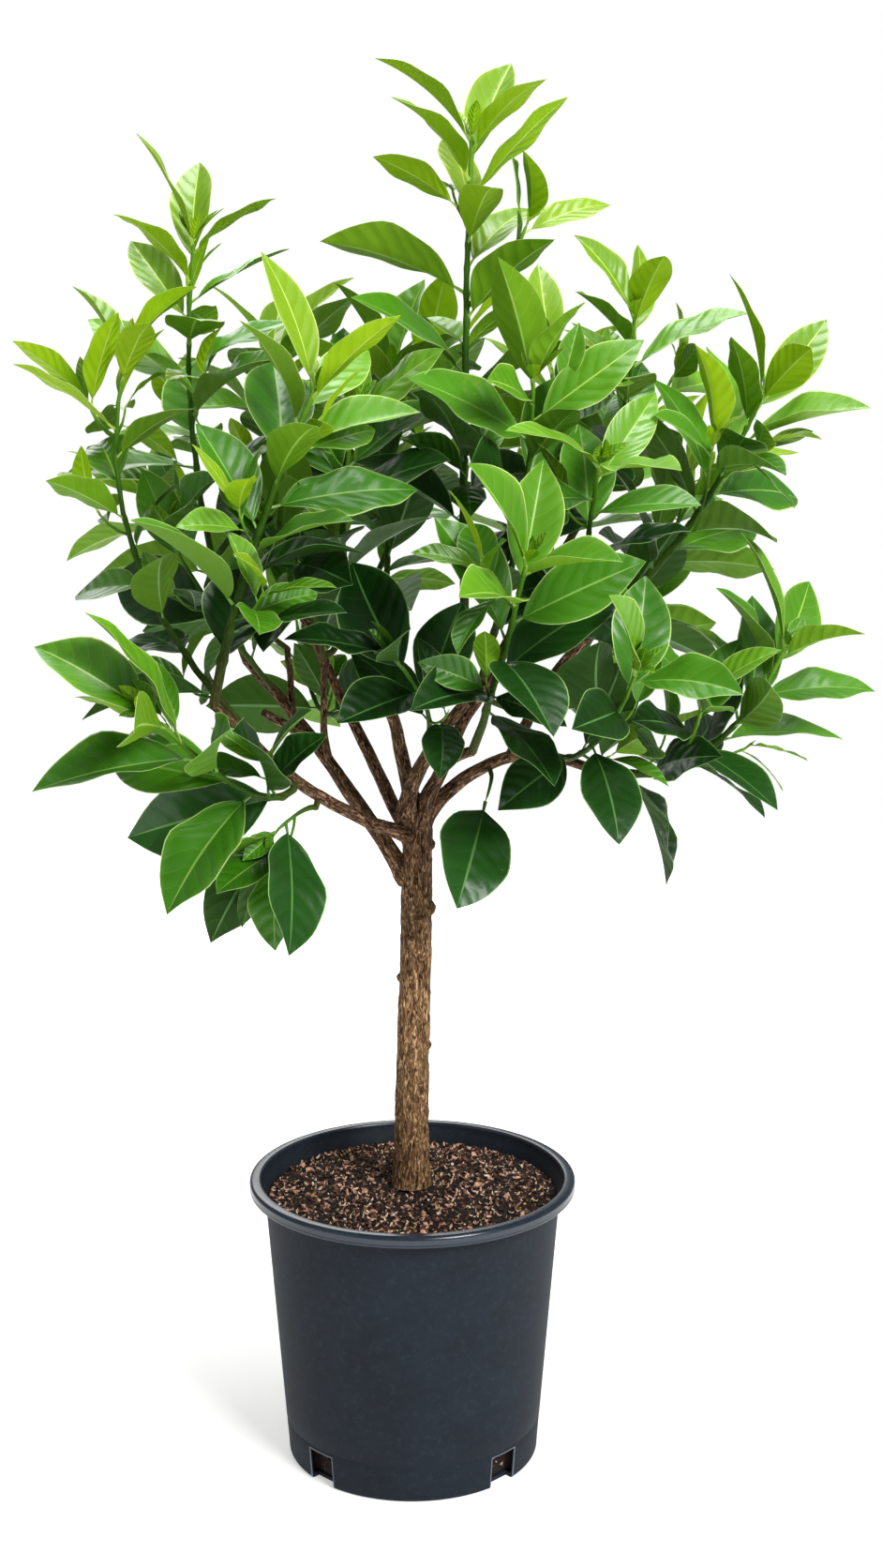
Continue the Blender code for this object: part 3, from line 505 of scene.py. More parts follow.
# What the chips lie on: the compost's top clear of the trunk, and a patch at each notch.
bed_points = []
for radius in BED_RADII:
    share = radius / SOIL_EDGE
    bed_points += [on_circle(radius, 360.0 * k / BED_SIDES, soil_height(share) - BED_SINK)
                   + Vector((0.0, BED_SHIFT * (1.0 - share), 0.0)) for k in range(BED_SIDES)]
bed_faces = bands(len(BED_RADII), BED_SIDES)
half_turn = math.degrees(0.5 * NOTCH_WIDTH / FOOT_RADIUS) - 1.0
for angle in NOTCH_ANGLES:
    first = len(bed_points)
    for height in (0.006, NOTCH_HEIGHT - 0.003):
        radius = wall_radius(height) - WALL - NOTCH_SINK - BED_GAP
        bed_points += [on_circle(radius, angle + turn, height) for turn in (-half_turn, half_turn)]
    bed_faces.append((first, first + 1, first + 3, first + 2))
bed_mesh = new_mesh("chip_bed", bed_points, bed_faces)

chips_tree = scatter_tree()
for seed, row in enumerate(CHIP_KINDS, start=FIRST_CHIP_SEED):
    name, size, curl, density, spread, tilt, light, dark, roughness = row
    flake = chip_shape(name + "_flake", size, curl, seed)
    chips = place(name, bed_mesh.copy())
    grow(chips, chips_tree, {"Chip": flake, "Density": density, "Spread": spread, "Tilt": tilt,
                             "Seed": seed, "Finish": chip_finish(name, light, dark, roughness)})
    bpy.data.objects.remove(flake, do_unlink=True)
    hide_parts("compost")
    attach(chips, "root")


# ---------------------------------------------------------------- trunk and boughs
# The woody frame: one clean stem with rubbed-off bud scars, forking into tapering boughs
# that swell where they leave it. The bark is thin and tan, split into fine upright
# ridges, and darker towards the top of the stem and on the boughs.
TRUNK_FOOT = Vector((-0.001, 0.008, SOIL_TOP_Z + 0.0003))
TRUNK_TOP = Vector((0.005, 0.003, 0.582))
TRUNK_FOOT_RADIUS = 0.0150
TRUNK_TOP_RADIUS = 0.0122
TRUNK_STEP = 0.0018
FLARE = 0.0016
FLARE_HEIGHT = 0.020
DOME_HEIGHT = 0.018
DOME_DROP = 0.75
LIMB_STEP = 0.0022
WANDER = 0.0022
WANDER_SIZE = 0.035
COLLAR_SWELL = 0.40
COLLAR_LENGTH = 0.011
# How far a bough's line runs inside the trunk or the bough that carries it.
IN_TRUNK, IN_BOUGH = 0.0115, 0.0045
# Each scar, in mm: height, side (degrees round the trunk from +X), radius.
SCARS = ((428, 190, 5.2), (366, 345, 5.6), (492, 345, 8.4), (549, 352, 6.2),
         (333, 300, 3.4), (466, 250, 4.0), (484, 285, 5.6), (503, 305, 4.6))
SCAR_SINK = 1.4
SCAR_RISE = 0.5
SCAR_TILT = 0.25
SCAR_STEPS = 8
# Each bough, in mm: name, parent, foot, knee, tip, foot radius, tip radius.
BOUGHS = (
    ("left_bough", "trunk", (-1, 6, 506), (-79, 20, 620), (-141, 60, 686), 7.2, 3.4),
    ("cut_stub", "left_bough", (-79, 20, 620), (-101, 10, 637), (-122, 0, 652), 4.2, 3.4),
    ("left_back_twig", "left_bough", (-100, 31, 641), (-104, 58, 664), (-108, 100, 690),
     3.2, 2.6),
    ("left_inner_twig", "left_bough", (-70, 17, 608), (-74, 10, 652), (-72, 4, 694), 3.0, 2.4),
    ("centre_left_bough", "trunk", (3, 2, 560), (-16, -8, 650), (-45, -10, 714), 6.6, 3.4),
    ("centre_bough", "trunk", (-3, 0, 560), (4, -27, 606), (45, -32, 666), 7.4, 4.5),
    ("inner_right_bough", "trunk", (6, -2, 556), (23, -14, 602), (50, -34, 626), 5.6, 4.2),
    ("low_right_bough", "trunk", (4, 5, 552), (70, 14, 607), (148, 0, 605), 6.4, 4.0),
    ("right_bough", "low_right_bough", (83, 13, 608), (112, 30, 668), (157, 40, 718), 4.8, 4.0),
    ("upper_right_bough", "trunk", (8, 6, 560), (56, 20, 665), (126, 60, 777), 5.6, 3.4),
    ("low_left_bough", "trunk", (0, 2, 548), (-73, -76, 598), (-151, -120, 679), 5.8, 3.8),
    ("back_left_bough", "trunk", (2, 8, 536), (-46, 84, 618), (-104, 164, 722), 6.2, 3.6),
    ("back_right_bough", "trunk", (6, 8, 550), (46, 88, 630), (108, 168, 716), 6.0, 3.6),
)
BOUGH_RINGS = 9
FINE_RINGS = 33
# Every so many rings of the trunk make its coarse path.
COARSE_EVERY = 8
RIDGE_LENGTH = 0.012
LUMP_SIZE = 0.022
FULL_RIDGE_GIRTH = 0.013
STREAK_WIDTH = 0.0021
STREAK_SHARE = 0.26
STAIN_SIZE = 0.04
# Between these heights the bark turns from the tan of the lower stem to a darker brown.
DARKENING = (0.40, 0.56)


def smooth_path(foot, knee, tip, rings):
    """Points of a parabola that passes the knee half way."""
    pull = 2.0 * knee - 0.5 * (foot + tip)
    steps = [i / (rings - 1) for i in range(rings)]
    return [(1 - t) ** 2 * foot + 2 * t * (1 - t) * pull + t * t * tip for t in steps]


def even_radii(first, last, rings):
    return [first + (last - first) * i / (rings - 1) for i in range(rings)]


def path_length(path):
    return sum((b - a).length for a, b in zip(path, path[1:]))


def along(path, place_on):
    """The point and the direction at a share of the way along a path."""
    last = len(path) - 1
    index = min(int(place_on * last), last - 1)
    point = path[index].lerp(path[index + 1], place_on * last - index)
    return point, (path[index + 1] - path[index]).normalized()


# Vector noise takes its seed from the clock unless it is given one.
DRIFT_SEED = 1
noise.seed_set(DRIFT_SEED)


def limb_line(path, radii, reach, seed):
    """A path and its radii read again every couple of millimetres, with a slow sideways
    drift between its ends, so that no limb is a perfect curve."""
    count = max(6, int(path_length(path) / LIMB_STEP))
    line = []
    for i in range(count + 1):
        share = i / count
        point, _ = along(path, share)
        ring = share * (len(radii) - 1)
        low = min(int(ring), len(radii) - 2)
        radius = radii[low] + (radii[low + 1] - radii[low]) * (ring - low)
        drift = noise.noise_vector(point / WANDER_SIZE + Vector((seed, 3.1 * seed, -seed)))
        line.append((point + reach * drift * math.sin(math.pi * share) ** 0.5, radius))
    return line


def trunk_at(share):
    """The trunk's height and plain radius at a share of the way up."""
    return (TRUNK_FOOT.z + (TRUNK_TOP.z - TRUNK_FOOT.z) * share,
            TRUNK_FOOT_RADIUS + (TRUNK_TOP_RADIUS - TRUNK_FOOT_RADIUS) * share)


wood_lines = [[]]
count = int((TRUNK_TOP.z - TRUNK_FOOT.z) / TRUNK_STEP)
for i in range(count + 1):
    height, radius = trunk_at(i / count)
    point = TRUNK_FOOT.lerp(TRUNK_TOP, (1.0 - math.cos(math.pi * i / count)) / 2.0)
    point.z = height
    radius += FLARE * math.exp(-(height - TRUNK_FOOT.z) / FLARE_HEIGHT)
    dome = max(0.0, 1.0 + (height - TRUNK_TOP.z) / DOME_HEIGHT)
    wood_lines[0].append((point, radius * math.sqrt(1.0 - DOME_DROP * dome ** 2)))
bough_paths = {"trunk": list(zip(*wood_lines[0][::COARSE_EVERY]))}
for seed, (name, parent, *points, first, last) in enumerate(BOUGHS, start=1):
    foot, knee, tip = [Vector(metres(point)) for point in points]
    radii = even_radii(*metres((first, last)), BOUGH_RINGS)
    bough_paths[name] = (smooth_path(foot, knee, tip, BOUGH_RINGS), radii)
    line = limb_line(smooth_path(foot, knee, tip, FINE_RINGS), radii, WANDER, seed)
    walked = -(IN_TRUNK if parent == "trunk" else IN_BOUGH)
    swollen = [line[0]]
    for (before, _), (point, radius) in zip(line, line[1:]):
        walked += (point - before).length
        swell = COLLAR_SWELL * math.exp(-max(0.0, walked) / COLLAR_LENGTH)
        swollen.append((point, radius * (1.0 + swell)))
    wood_lines.append(swollen)
for height, side, radius in SCARS:
    height, radius = metres((height, radius))
    share = (height - TRUNK_FOOT.z) / (TRUNK_TOP.z - TRUNK_FOOT.z)
    out = on_circle(1.0, side, SCAR_TILT).normalized()
    start = along(bough_paths["trunk"][0], share)[0]
    start += out * (trunk_at(share)[1] - SCAR_SINK * radius)
    steps = [t / SCAR_STEPS for t in range(SCAR_STEPS + 1)]
    wood_lines.append([(start + out * (SCAR_SINK + SCAR_RISE) * radius * t,
                        radius * math.sqrt(1.02 - t ** 3)) for t in steps])


def limbs_tree():
    """Runs a tapering round limb along each line, then splits its skin into ridges."""
    tree, given = new_tree("ridged_limbs", {
        "Lines": "Geometry", "Sides": "Int", "Ridge Width": "Float", "Ridge Length": "Float",
        "Ridge Height": "Float", "Finish": "Material"}, "Limbs")
    girth, turn, walked = [add(tree, "GeometryNodeInputNamedAttribute", {"Name": name})
                           for name in ("girth", "turn", "walked")]
    way = add(tree, "GeometryNodeSplineParameter").outputs
    rail = add(tree, "GeometryNodeStoreNamedAttribute", {
        "Geometry": add(tree, "GeometryNodeMeshToCurve", [given["Lines"]]),
        "Name": "walked", "Value": way["Length"]})
    hoop = add(tree, "GeometryNodeStoreNamedAttribute", {
        "Geometry": add(tree, "GeometryNodeCurvePrimitiveCircle",
                        {"Resolution": given["Sides"], "Radius": 1.0}),
        "Name": "turn", "Value": way["Factor"]})
    skin = add(tree, "GeometryNodeCurveToMesh", {
        "Curve": rail, "Profile Curve": hoop, "Scale": girth, "Fill Caps": True})
    # The grain is each point's place in a straightened limb, along which ridges run.
    angle = add(tree, "Math", [turn, 2.0 * math.pi], operation="MULTIPLY")
    across, beside = [
        add(tree, "Math", [add(tree, "Math", [angle], operation=wave), girth],
            operation="MULTIPLY") for wave in ("COSINE", "SINE")]
    grain = add(tree, "CombineXYZ", [across, beside, walked])
    marked = add(tree, "GeometryNodeStoreNamedAttribute", {
        "Geometry": skin, "Name": "grain", "Value": grain}, data_type="FLOAT_VECTOR")
    stretch = add(tree, "Math", [given["Ridge Width"], given["Ridge Length"]],
                  operation="DIVIDE")
    drawn = add(tree, "VectorMath", [grain, add(tree, "CombineXYZ", [1.0, 1.0, stretch])],
                operation="MULTIPLY")
    spot = add(tree, "GeometryNodeInputPosition")
    shift = add(tree, "VectorMath", {0: spot, "Scale": 0.15}, operation="SCALE")
    ridges = add(tree, "TexNoise", {
        "Vector": add(tree, "VectorMath", [drawn, shift], operation="ADD"),
        "Scale": add(tree, "Math", [1.0, given["Ridge Width"]], operation="DIVIDE"),
        "Detail": 2.5, "Roughness": 0.55, "Distortion": 0.6})
    known = {"girth": girth, "full_height": given["Ridge Height"], "ridges": ridges,
             "lumps": add(tree, "TexNoise", {"Vector": spot, "Scale": 1.0 / LUMP_SIZE,
                                             "Detail": 1.0})}
    for step, operation, *values in (
            ("both", "ADD", "ridges", "lumps"),
            ("centred", "SUBTRACT", "both", 1.0),
            ("height", "MULTIPLY", "centred", "full_height"),
            ("share", "DIVIDE", "girth", FULL_RIDGE_GIRTH),
            ("sized", "MULTIPLY", "height", "share")):
        known[step] = add(tree, "Math", [known.get(value, value) for value in values],
                          operation=operation)
    push = add(tree, "VectorMath", {0: add(tree, "GeometryNodeInputNormal"),
                                    "Scale": known["sized"]}, operation="SCALE")
    split = add(tree, "GeometryNodeSetPosition", {"Geometry": marked, "Offset": push})
    smooth = add(tree, "GeometryNodeSetShadeSmooth", [split])
    real = add(tree, "GeometryNodeRealizeInstances", [smooth])
    add(tree, "NodeGroupOutput", [add(tree, "GeometryNodeSetMaterial", {
        "Geometry": real, "Material": given["Finish"]})])
    return tree


def mark(mesh, values, kind="FLOAT", domain="POINT"):
    """Stores values on a mesh's points or faces, each list under its own name."""
    for name, numbers in values.items():
        mesh.attributes.new(name, kind, domain).data.foreach_set(
            "vector" if kind == "FLOAT_VECTOR" else "value", numbers)


def limb_piece(name, lines, ages, sides, ridge_width, ridge_height, finish):
    """Lays the lines in one object and lets the node tree grow the limbs on them."""
    points, edges, marks = [], [], {"girth": [], "age": []}
    for line, (foot_age, tip_age) in zip(lines, ages):
        edges += [(len(points) + i, len(points) + i + 1) for i in range(len(line) - 1)]
        for i, (point, radius) in enumerate(line):
            points.append(point)
            marks["girth"].append(radius)
            marks["age"].append(foot_age + (tip_age - foot_age) * i / (len(line) - 1))
    item = place(name, new_mesh(name, points, (), edges))
    mark(item.data, marks)
    grow(item, ridged_limbs, {"Sides": sides, "Ridge Width": ridge_width,
                              "Ridge Length": RIDGE_LENGTH, "Ridge Height": ridge_height,
                              "Finish": finish})
    return item


def set_steps(ramp, steps):
    """Gives a colour ramp node its colours, each a place on the ramp and a hex value."""
    elements = ramp.color_ramp.elements
    elements.remove(elements[1])
    for number, (position, code) in enumerate(steps):
        element = elements.new(position) if number else elements[0]
        element.position, element.color = position, linear(code)


# Citrus bark: a dry, matt, corky skin; wavy ridges a couple of millimetres apart, their
# tops painted pale as a painted highlight, over dark cracks that are partly their own darker
# colour and partly painted shade; tan low on the stem and darker towards its top and on the
# boughs.
bark, tree, shader = new_material("corky_citrus_bark", 0.86, 1.4)
grain = add(tree, "Attribute", attribute_name="grain").outputs["Vector"]
drawn = add(tree, "VectorMath", [grain, (1.0, 1.0, STREAK_SHARE)], operation="MULTIPLY")
streaks = add(tree, "TexNoise", {"Vector": drawn, "Scale": 1.0 / STREAK_WIDTH, "Detail": 3.0,
                                 "Roughness": 0.58, "Distortion": 1.3})
spot = add(tree, "TexCoord").outputs["Object"]
height = add(tree, "SeparateXYZ", [spot]).outputs["Z"]
aloft = add(tree, "MapRange", {"Value": height, "From Min": DARKENING[0],
                               "From Max": DARKENING[1]})
ramps = [add(tree, "ValToRGB", [streaks]), add(tree, "ValToRGB", [streaks])]
# The pale last step of each ramp is a painted highlight on the ridges; the dark first step is the
# cracks' own colour with painted shade.
set_steps(ramps[0], ((0.35, "1E120A"), (0.45, "5E432C"), (0.56, "8F6C49"), (0.68, "E0BC92")))
set_steps(ramps[1], ((0.35, "150D08"), (0.45, "422D1E"), (0.56, "70513D"), (0.68, "BA9472")))
tint = add(tree, "Mix", {"Factor": aloft, "A": ramps[0], "B": ramps[1]}, data_type="RGBA")
stains = add(tree, "TexNoise", {"Vector": spot, "Scale": 1.0 / STAIN_SIZE})
stained = add(tree, "MapRange", {"Value": stains, "From Min": 0.48, "From Max": 0.75,
                                 "To Max": 0.40})
tint = add(tree, "Mix", {"Factor": stained, "A": tint, "B": linear("5A4E2C")},
           data_type="RGBA")
skin = add(tree, "Bump", {"Height": streaks, "Strength": 1.0, "Distance": 0.0016})
feed(shader, {"Base Color": tint, "Specular IOR Level": 0.25, "Normal": skin})

ridged_limbs = limbs_tree()
wood = limb_piece("barked_limbs", wood_lines, [(1.0, 1.0)] * len(wood_lines), sides=56,
                  ridge_width=0.0028, ridge_height=0.0024, finish=bark)
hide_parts("trunk", *[row[0] for row in BOUGHS])
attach(wood, "root")


# ---------------------------------------------------------------- shoots
# This year's growth: green stems that carry on from the boughs, a little swollen at each
# leaf joint, browner at the foot, with short side twigs and a bud at every tip.
# Each shoot, in mm: name, bough it grows on, place along that bough (1 is its tip), knee,
# tip, stem radius, bare share of the stem, leaves, leaf length, side of the topmost leaf
# (degrees), and its side twigs, each as (place along the stem, side, length, leaves).
SHOOTS = (
    ("crown_top_shoot", "centre_bough", 1.0, (43, -6, 880), (49, 10, 1112),
     4.2, 0.28, 17, 108, 180, ((0.72, -30, 85, 4),)),
    ("left_shoot", "left_bough", 1.0, (-178, 44, 850), (-174, 22, 1032),
     3.4, 0.30, 14, 106, 180, ()),
    ("outer_left_shoot", "low_left_bough", 0.90, (-220, -66, 800), (-224, -22, 948),
     3.2, 0.10, 13, 90, 20, ((0.80, 150, 45, 3),)),
    ("left_front_shoot", "low_left_bough", 1.0, (-118, -148, 800), (-68, -155, 922),
     4.2, 0.06, 14, 108, 170, ()),
    ("low_left_shoot", "low_left_bough", 0.62, (-128, -146, 618), (-190, -190, 682),
     3.4, 0.12, 9, 116, 190, ()),
    ("low_left_drooping_shoot", "low_left_bough", 0.50, (-86, -96, 590), (-106, -112, 576),
     2.6, 0.60, 4, 122, 90, ()),
    ("right_shoot", "right_bough", 1.0, (232, 34, 806), (285, 10, 913),
     4.0, 0.18, 12, 102, 170, ((0.55, 250, 75, 4),)),
    ("low_right_shoot", "low_right_bough", 1.0, (236, -24, 620), (302, -45, 714),
     4.0, 0.08, 13, 96, 10, ((0.36, 60, 100, 6),)),
    ("upper_right_shoot", "upper_right_bough", 1.0, (172, 62, 876), (182, 42, 972),
     3.4, 0.15, 11, 96, 170, ((0.5, 40, 75, 4),)),
    ("centre_front_shoot", "inner_right_bough", 1.0, (66, -100, 690), (88, -175, 795),
     4.0, 0.25, 10, 108, 180, ()),
    ("centre_low_shoot", "centre_bough", 0.72, (12, -78, 672), (-14, -110, 716),
     2.6, 0.20, 6, 100, 200, ()),
    ("centre_right_shoot", "upper_right_bough", 0.55, (88, -20, 810), (96, -70, 925),
     3.4, 0.15, 12, 104, 0, ()),
    ("centre_left_shoot", "centre_left_bough", 1.0, (-54, -22, 800), (-44, -50, 900),
     3.4, 0.12, 11, 104, 200, ()),
    ("right_centre_shoot", "right_bough", 0.85, (140, -30, 786), (146, -95, 862),
     3.2, 0.15, 10, 104, 180, ()),
    ("right_front_shoot", "low_right_bough", 0.80, (146, -80, 640), (172, -160, 710),
     3.2, 0.20, 9, 100, 170, ()),
    ("left_middle_shoot", "left_bough", 0.80, (-156, -10, 730), (-190, -50, 800),
     2.8, 0.15, 8, 104, 200, ()),
    ("inner_left_shoot", "left_inner_twig", 1.0, (-84, -30, 760), (-108, -80, 815),
     2.4, 0.15, 8, 104, 160, ()),
    ("hanging_shoot", "low_right_bough", 0.46, (66, -8, 595), (61, -17, 580),
     2.2, 0.90, 1, 116, 80, ()),
    ("back_left_low_shoot", "left_back_twig", 1.0, (-170, 140, 740), (-232, 150, 820),
     2.6, 0.15, 10, 104, 100, ()),
    ("back_left_shoot", "back_left_bough", 1.0, (-132, 190, 840), (-120, 180, 935),
     3.6, 0.15, 12, 106, 60, ((0.4, 200, 90, 5),)),
    ("back_low_shoot", "back_left_bough", 0.62, (-90, 190, 630), (-110, 250, 700),
     3.0, 0.20, 8, 106, 90, ()),
    ("back_centre_shoot", "back_left_bough", 0.80, (-10, 180, 800), (10, 200, 915),
     3.4, 0.20, 13, 106, 80, ()),
    ("back_right_shoot", "back_right_bough", 1.0, (128, 200, 810), (122, 206, 930),
     3.6, 0.15, 12, 106, 100, ((0.4, 0, 90, 5),)),
    ("back_right_low_shoot", "back_right_bough", 0.62, (130, 150, 640), (208, 190, 715),
     3.0, 0.20, 9, 106, 20, ()),
    ("right_back_shoot", "right_bough", 0.75, (190, 100, 740), (250, 140, 830),
     3.0, 0.20, 10, 102, 60, ()),
    ("crown_back_shoot", "centre_left_bough", 0.70, (-20, 70, 815), (-16, 100, 925),
     3.2, 0.25, 12, 104, 60, ()),
)
STEM_RINGS = 8
SIDE_START = 0.006
TIP_TAPER = 0.42
TWIG_RINGS = 5
TWIG_LEAN = 50.0
TWIG_LIFT = 0.7
TWIG_RADIUS = 0.0022
TWIG_TAPER = 0.5
TWIG_BARE = 0.3
TWIG_LEAF_SHARE = 0.9
# The finer twigs of each shoot: one short spray for every few leaves, on random sides
# of the stem, carrying smaller and younger leaves; the crown keeps within its own reach.
SPRAY_EVERY = 5.0
FEWEST_FOR_SPRAYS = 4
SPRAY_TOP = 0.93
SPRAY_LENGTHS = (0.028, 0.050)
SPRAY_RADIUS = 0.0013
SPRAY_TAPER = 0.6
SPRAY_BARE = 0.15
SPRAY_LEAVES = (3, 5)
SPRAY_LEAF_SHARE = 0.62


def frames(path):
    """Tangent and two side directions at each point, turned as little as possible."""
    tangents = [(path[min(i + 1, len(path) - 1)] - path[max(i - 1, 0)]).normalized()
                for i in range(len(path))]
    side = Vector((0.0, 0.0, 1.0)) if abs(tangents[0].x) > 0.8 else Vector((1.0, 0.0, 0.0))
    side = (side - tangents[0] * side.dot(tangents[0])).normalized()
    result = []
    for tangent in tangents:
        side = (side - tangent * side.dot(tangent)).normalized()
        result.append((tangent, side, tangent.cross(side)))
    return result


def radial(frame_here, degrees):
    turn = math.radians(degrees)
    return frame_here[1] * math.cos(turn) + frame_here[2] * math.sin(turn)


def shoot_path(bough, along_it, knee, tip):
    """The stem's path, from the skin of the bough that carries it."""
    path, radii = bough_paths[bough]
    centre, heading = along(path, along_it)
    if along_it == 1.0:
        return smooth_path(centre, knee, tip, STEM_RINGS)
    out = knee - centre
    out = (out - heading * out.dot(heading)).normalized()
    foot = centre + out * radii[round(along_it * (len(radii) - 1))]
    return [foot] + smooth_path(foot + out * SIDE_START, knee, tip, STEM_RINGS)


def twig_path(stem, place_on, side, length):
    """A side twig leans out of its stem and bends up towards the light."""
    base, heading = along(stem, place_on)
    frame_here = frames(stem)[round(place_on * (len(stem) - 1))]
    lean = math.radians(TWIG_LEAN)
    out = heading * math.cos(lean) + radial(frame_here, side) * math.sin(lean)
    knee = base + out * 0.5 * length
    tip = knee + (out + Vector((0.0, 0.0, TWIG_LIFT))).normalized() * 0.5 * length
    return smooth_path(base, knee, tip, TWIG_RINGS)


# The stems of each shoot: path, foot radius, taper, kind, bare share, leaves, leaf length
# and side of the topmost leaf.
stems = {}
for name, bough, along_it, knee, tip, radius, bare, leaves, leaf_length, side, twigs in SHOOTS:
    path = shoot_path(bough, along_it, Vector(metres(knee)), Vector(metres(tip)))
    radius, leaf_length = metres((radius, leaf_length))
    dice = random.Random(name + " sprays")
    stems[name] = [(path, radius, TIP_TAPER, "stem", bare, leaves, leaf_length, side)]
    for place_on, twig_side, length, count in twigs:
        stems[name].append((
            twig_path(path, place_on, twig_side, *metres([length])), TWIG_RADIUS, TWIG_TAPER,
            "twig", TWIG_BARE, count, TWIG_LEAF_SHARE * leaf_length, None))
    sprays = round(leaves / SPRAY_EVERY) if leaves >= FEWEST_FOR_SPRAYS else 0
    for number in range(sprays):
        place_on = bare + (SPRAY_TOP - bare) * (number + dice.uniform(0.2, 0.8)) / sprays
        length = dice.uniform(*SPRAY_LENGTHS)
        stems[name].append((
            twig_path(path, place_on, dice.uniform(0.0, 360.0), length), SPRAY_RADIUS,
            SPRAY_TAPER, "spray", SPRAY_BARE, dice.randint(*SPRAY_LEAVES),
            SPRAY_LEAF_SHARE * leaf_length, dice.uniform(0.0, 360.0)))


# ---------------------------------------------------------------- leaves, their places
# Citrus leaves stand singly in a spiral up each stem, crowded and upright at its tip and
# spreading lower down, each turning its face to the light; none runs into another.
LEAF_TURN = 135.0
TURN_SPREAD = 14.0
TIP_CROWDING = 1.4
LAST_LEAF_PLACE = 0.985
TIP_ANGLE = 24.0
FOOT_ANGLE = 56.0
ANGLE_SPREAD = 12.0
LEAF_ROLL = 24.0
LEAF_DROOP = 0.12
LONGEST_SHARE = 1.04
TIP_SHORTENING = 0.10
LENGTH_SPREAD = 0.14
FACE_UP = 0.35
FACE_OUT = 0.55
LEAF_WIDTH = 0.47
LEAF_THICKNESS = 0.013
LEAF_FOLD = 0.30
LEAF_ARCH = 0.20
MIDDLE_SHARE = 0.55
STALK_SHARE = 0.10
# Where a leaf is in the way, these are tried in turn: added turn, share of its angle and
# share of its length.
LEAF_TRIES = ((0.0, 1.0, 1.0), (25.0, 1.0, 1.0), (-25.0, 1.0, 1.0), (0.0, 0.72, 0.92),
              (45.0, 0.85, 0.88), (-45.0, 0.85, 0.88), (0.0, 0.5, 0.8), (0.0, 1.15, 0.7))
LEAF_GAP = 0.0006
STALK_GAP = 0.0022
STALK_TESTS = (0.0, 0.035, 0.07, 0.10)
SPACE_STEP = 0.006
BOUGH_SIDES, STEM_SIDES = 8, 3
# Every growing tip ends in a tuft of leaflets that have only just unfolded.
TUFT_LEAVES = 4
TUFT_ANGLES = (10.0, 30.0)
TUFT_LENGTHS = (0.018, 0.040)
TUFT_SINK = 0.001
YOUNGEST = -0.3


def midrib(leaf, share):
    base, pointing, face, length = leaf
    return base + (pointing * share - face * LEAF_ARCH * share * share) * length


def leaf_blade(leaf):
    """The leaf beyond its stalk, as a coarse folded lens of points and faces."""
    _, pointing, face, length = leaf
    side = pointing.cross(face)
    half = 0.5 * LEAF_WIDTH * length
    points = []
    for share, width, depth in ((STALK_SHARE, 0.0014, 0.0020),
                                (0.40, half, LEAF_THICKNESS * length),
                                (0.74, 0.74 * half, LEAF_THICKNESS * length)):
        rib = midrib(leaf, share)
        lift = face * LEAF_FOLD * width
        points += [rib - side * width + lift, rib, rib + side * width + lift, rib - face * depth]
    points.append(midrib(leaf, 1.0))
    faces = [(0, 1, 2, 3)]
    for i in range(4):
        j = (i + 1) % 4
        faces += [(i, j, 4 + j, 4 + i), (4 + i, 4 + j, 8 + j, 8 + i), (8 + i, 8 + j, 12)]
    return points, faces


def skin(path, radii, sides):
    """A closed tube round a path, as points and faces."""
    points = []
    for point, frame_here, radius in zip(path, frames(path), radii):
        points += [point + radial(frame_here, 360.0 * k / sides) * radius for k in range(sides)]
    ends = [tuple(range(sides)), tuple(range(len(points) - sides, len(points)))]
    return points, bands(len(path), sides) + ends


def ball_round(points):
    middle = sum(points, Vector()) / len(points)
    return middle, max((point - middle).length for point in points)


def points_along(path):
    count = max(2, int(path_length(path) / SPACE_STEP))
    return [along(path, i / count)[0] for i in range(count + 1)]


def nearest(points, spot):
    return min((spot - point).length for point in points)


crown = []


def stand(owner, points, faces):
    """Adds one more thing to what the leaves have to keep clear of."""
    crown.append((owner, *ball_round(points), points, BVHTree.FromPolygons(points, faces)))


def is_clear(owner, leaf):
    """The blade keeps clear of everything, and the stalk of all other shoots."""
    points, faces = leaf_blade(leaf)
    blade = BVHTree.FromPolygons(points, faces)
    stalk = [midrib(leaf, share) for share in STALK_TESTS]
    middle, reach = ball_round(points + stalk)
    for other_owner, other_middle, other_reach, other_points, other in crown:
        if (middle - other_middle).length > reach + other_reach + STALK_GAP:
            continue
        tests = [(other, points, LEAF_GAP), (blade, other_points, LEAF_GAP)]
        if owner != other_owner:
            tests.append((other, stalk, STALK_GAP))
        if blade.overlap(other) or any(solid.find_nearest(point, gap)[0]
                                       for solid, spots, gap in tests for point in spots):
            return False
    return True


def place_leaf(base, heading, out, angle, length, droop, roll):
    """A leaf turns its face up and away from the trunk, towards the light."""
    lean = math.radians(angle)
    pointing = heading * math.cos(lean) + out * math.sin(lean)
    pointing = (pointing - Vector((0.0, 0.0, droop))).normalized()
    face = heading * math.sin(lean) - out * math.cos(lean)
    if face.z < 0.0:
        face.negate()
    outward = Vector((base.x - TRUNK_TOP.x, base.y - TRUNK_TOP.y, 0.0)).normalized()
    face += outward * FACE_OUT + Vector((0.0, 0.0, FACE_UP))
    face = (face - pointing * face.dot(pointing)).normalized()
    return base, pointing, Quaternion(pointing, math.radians(roll)) @ face, length


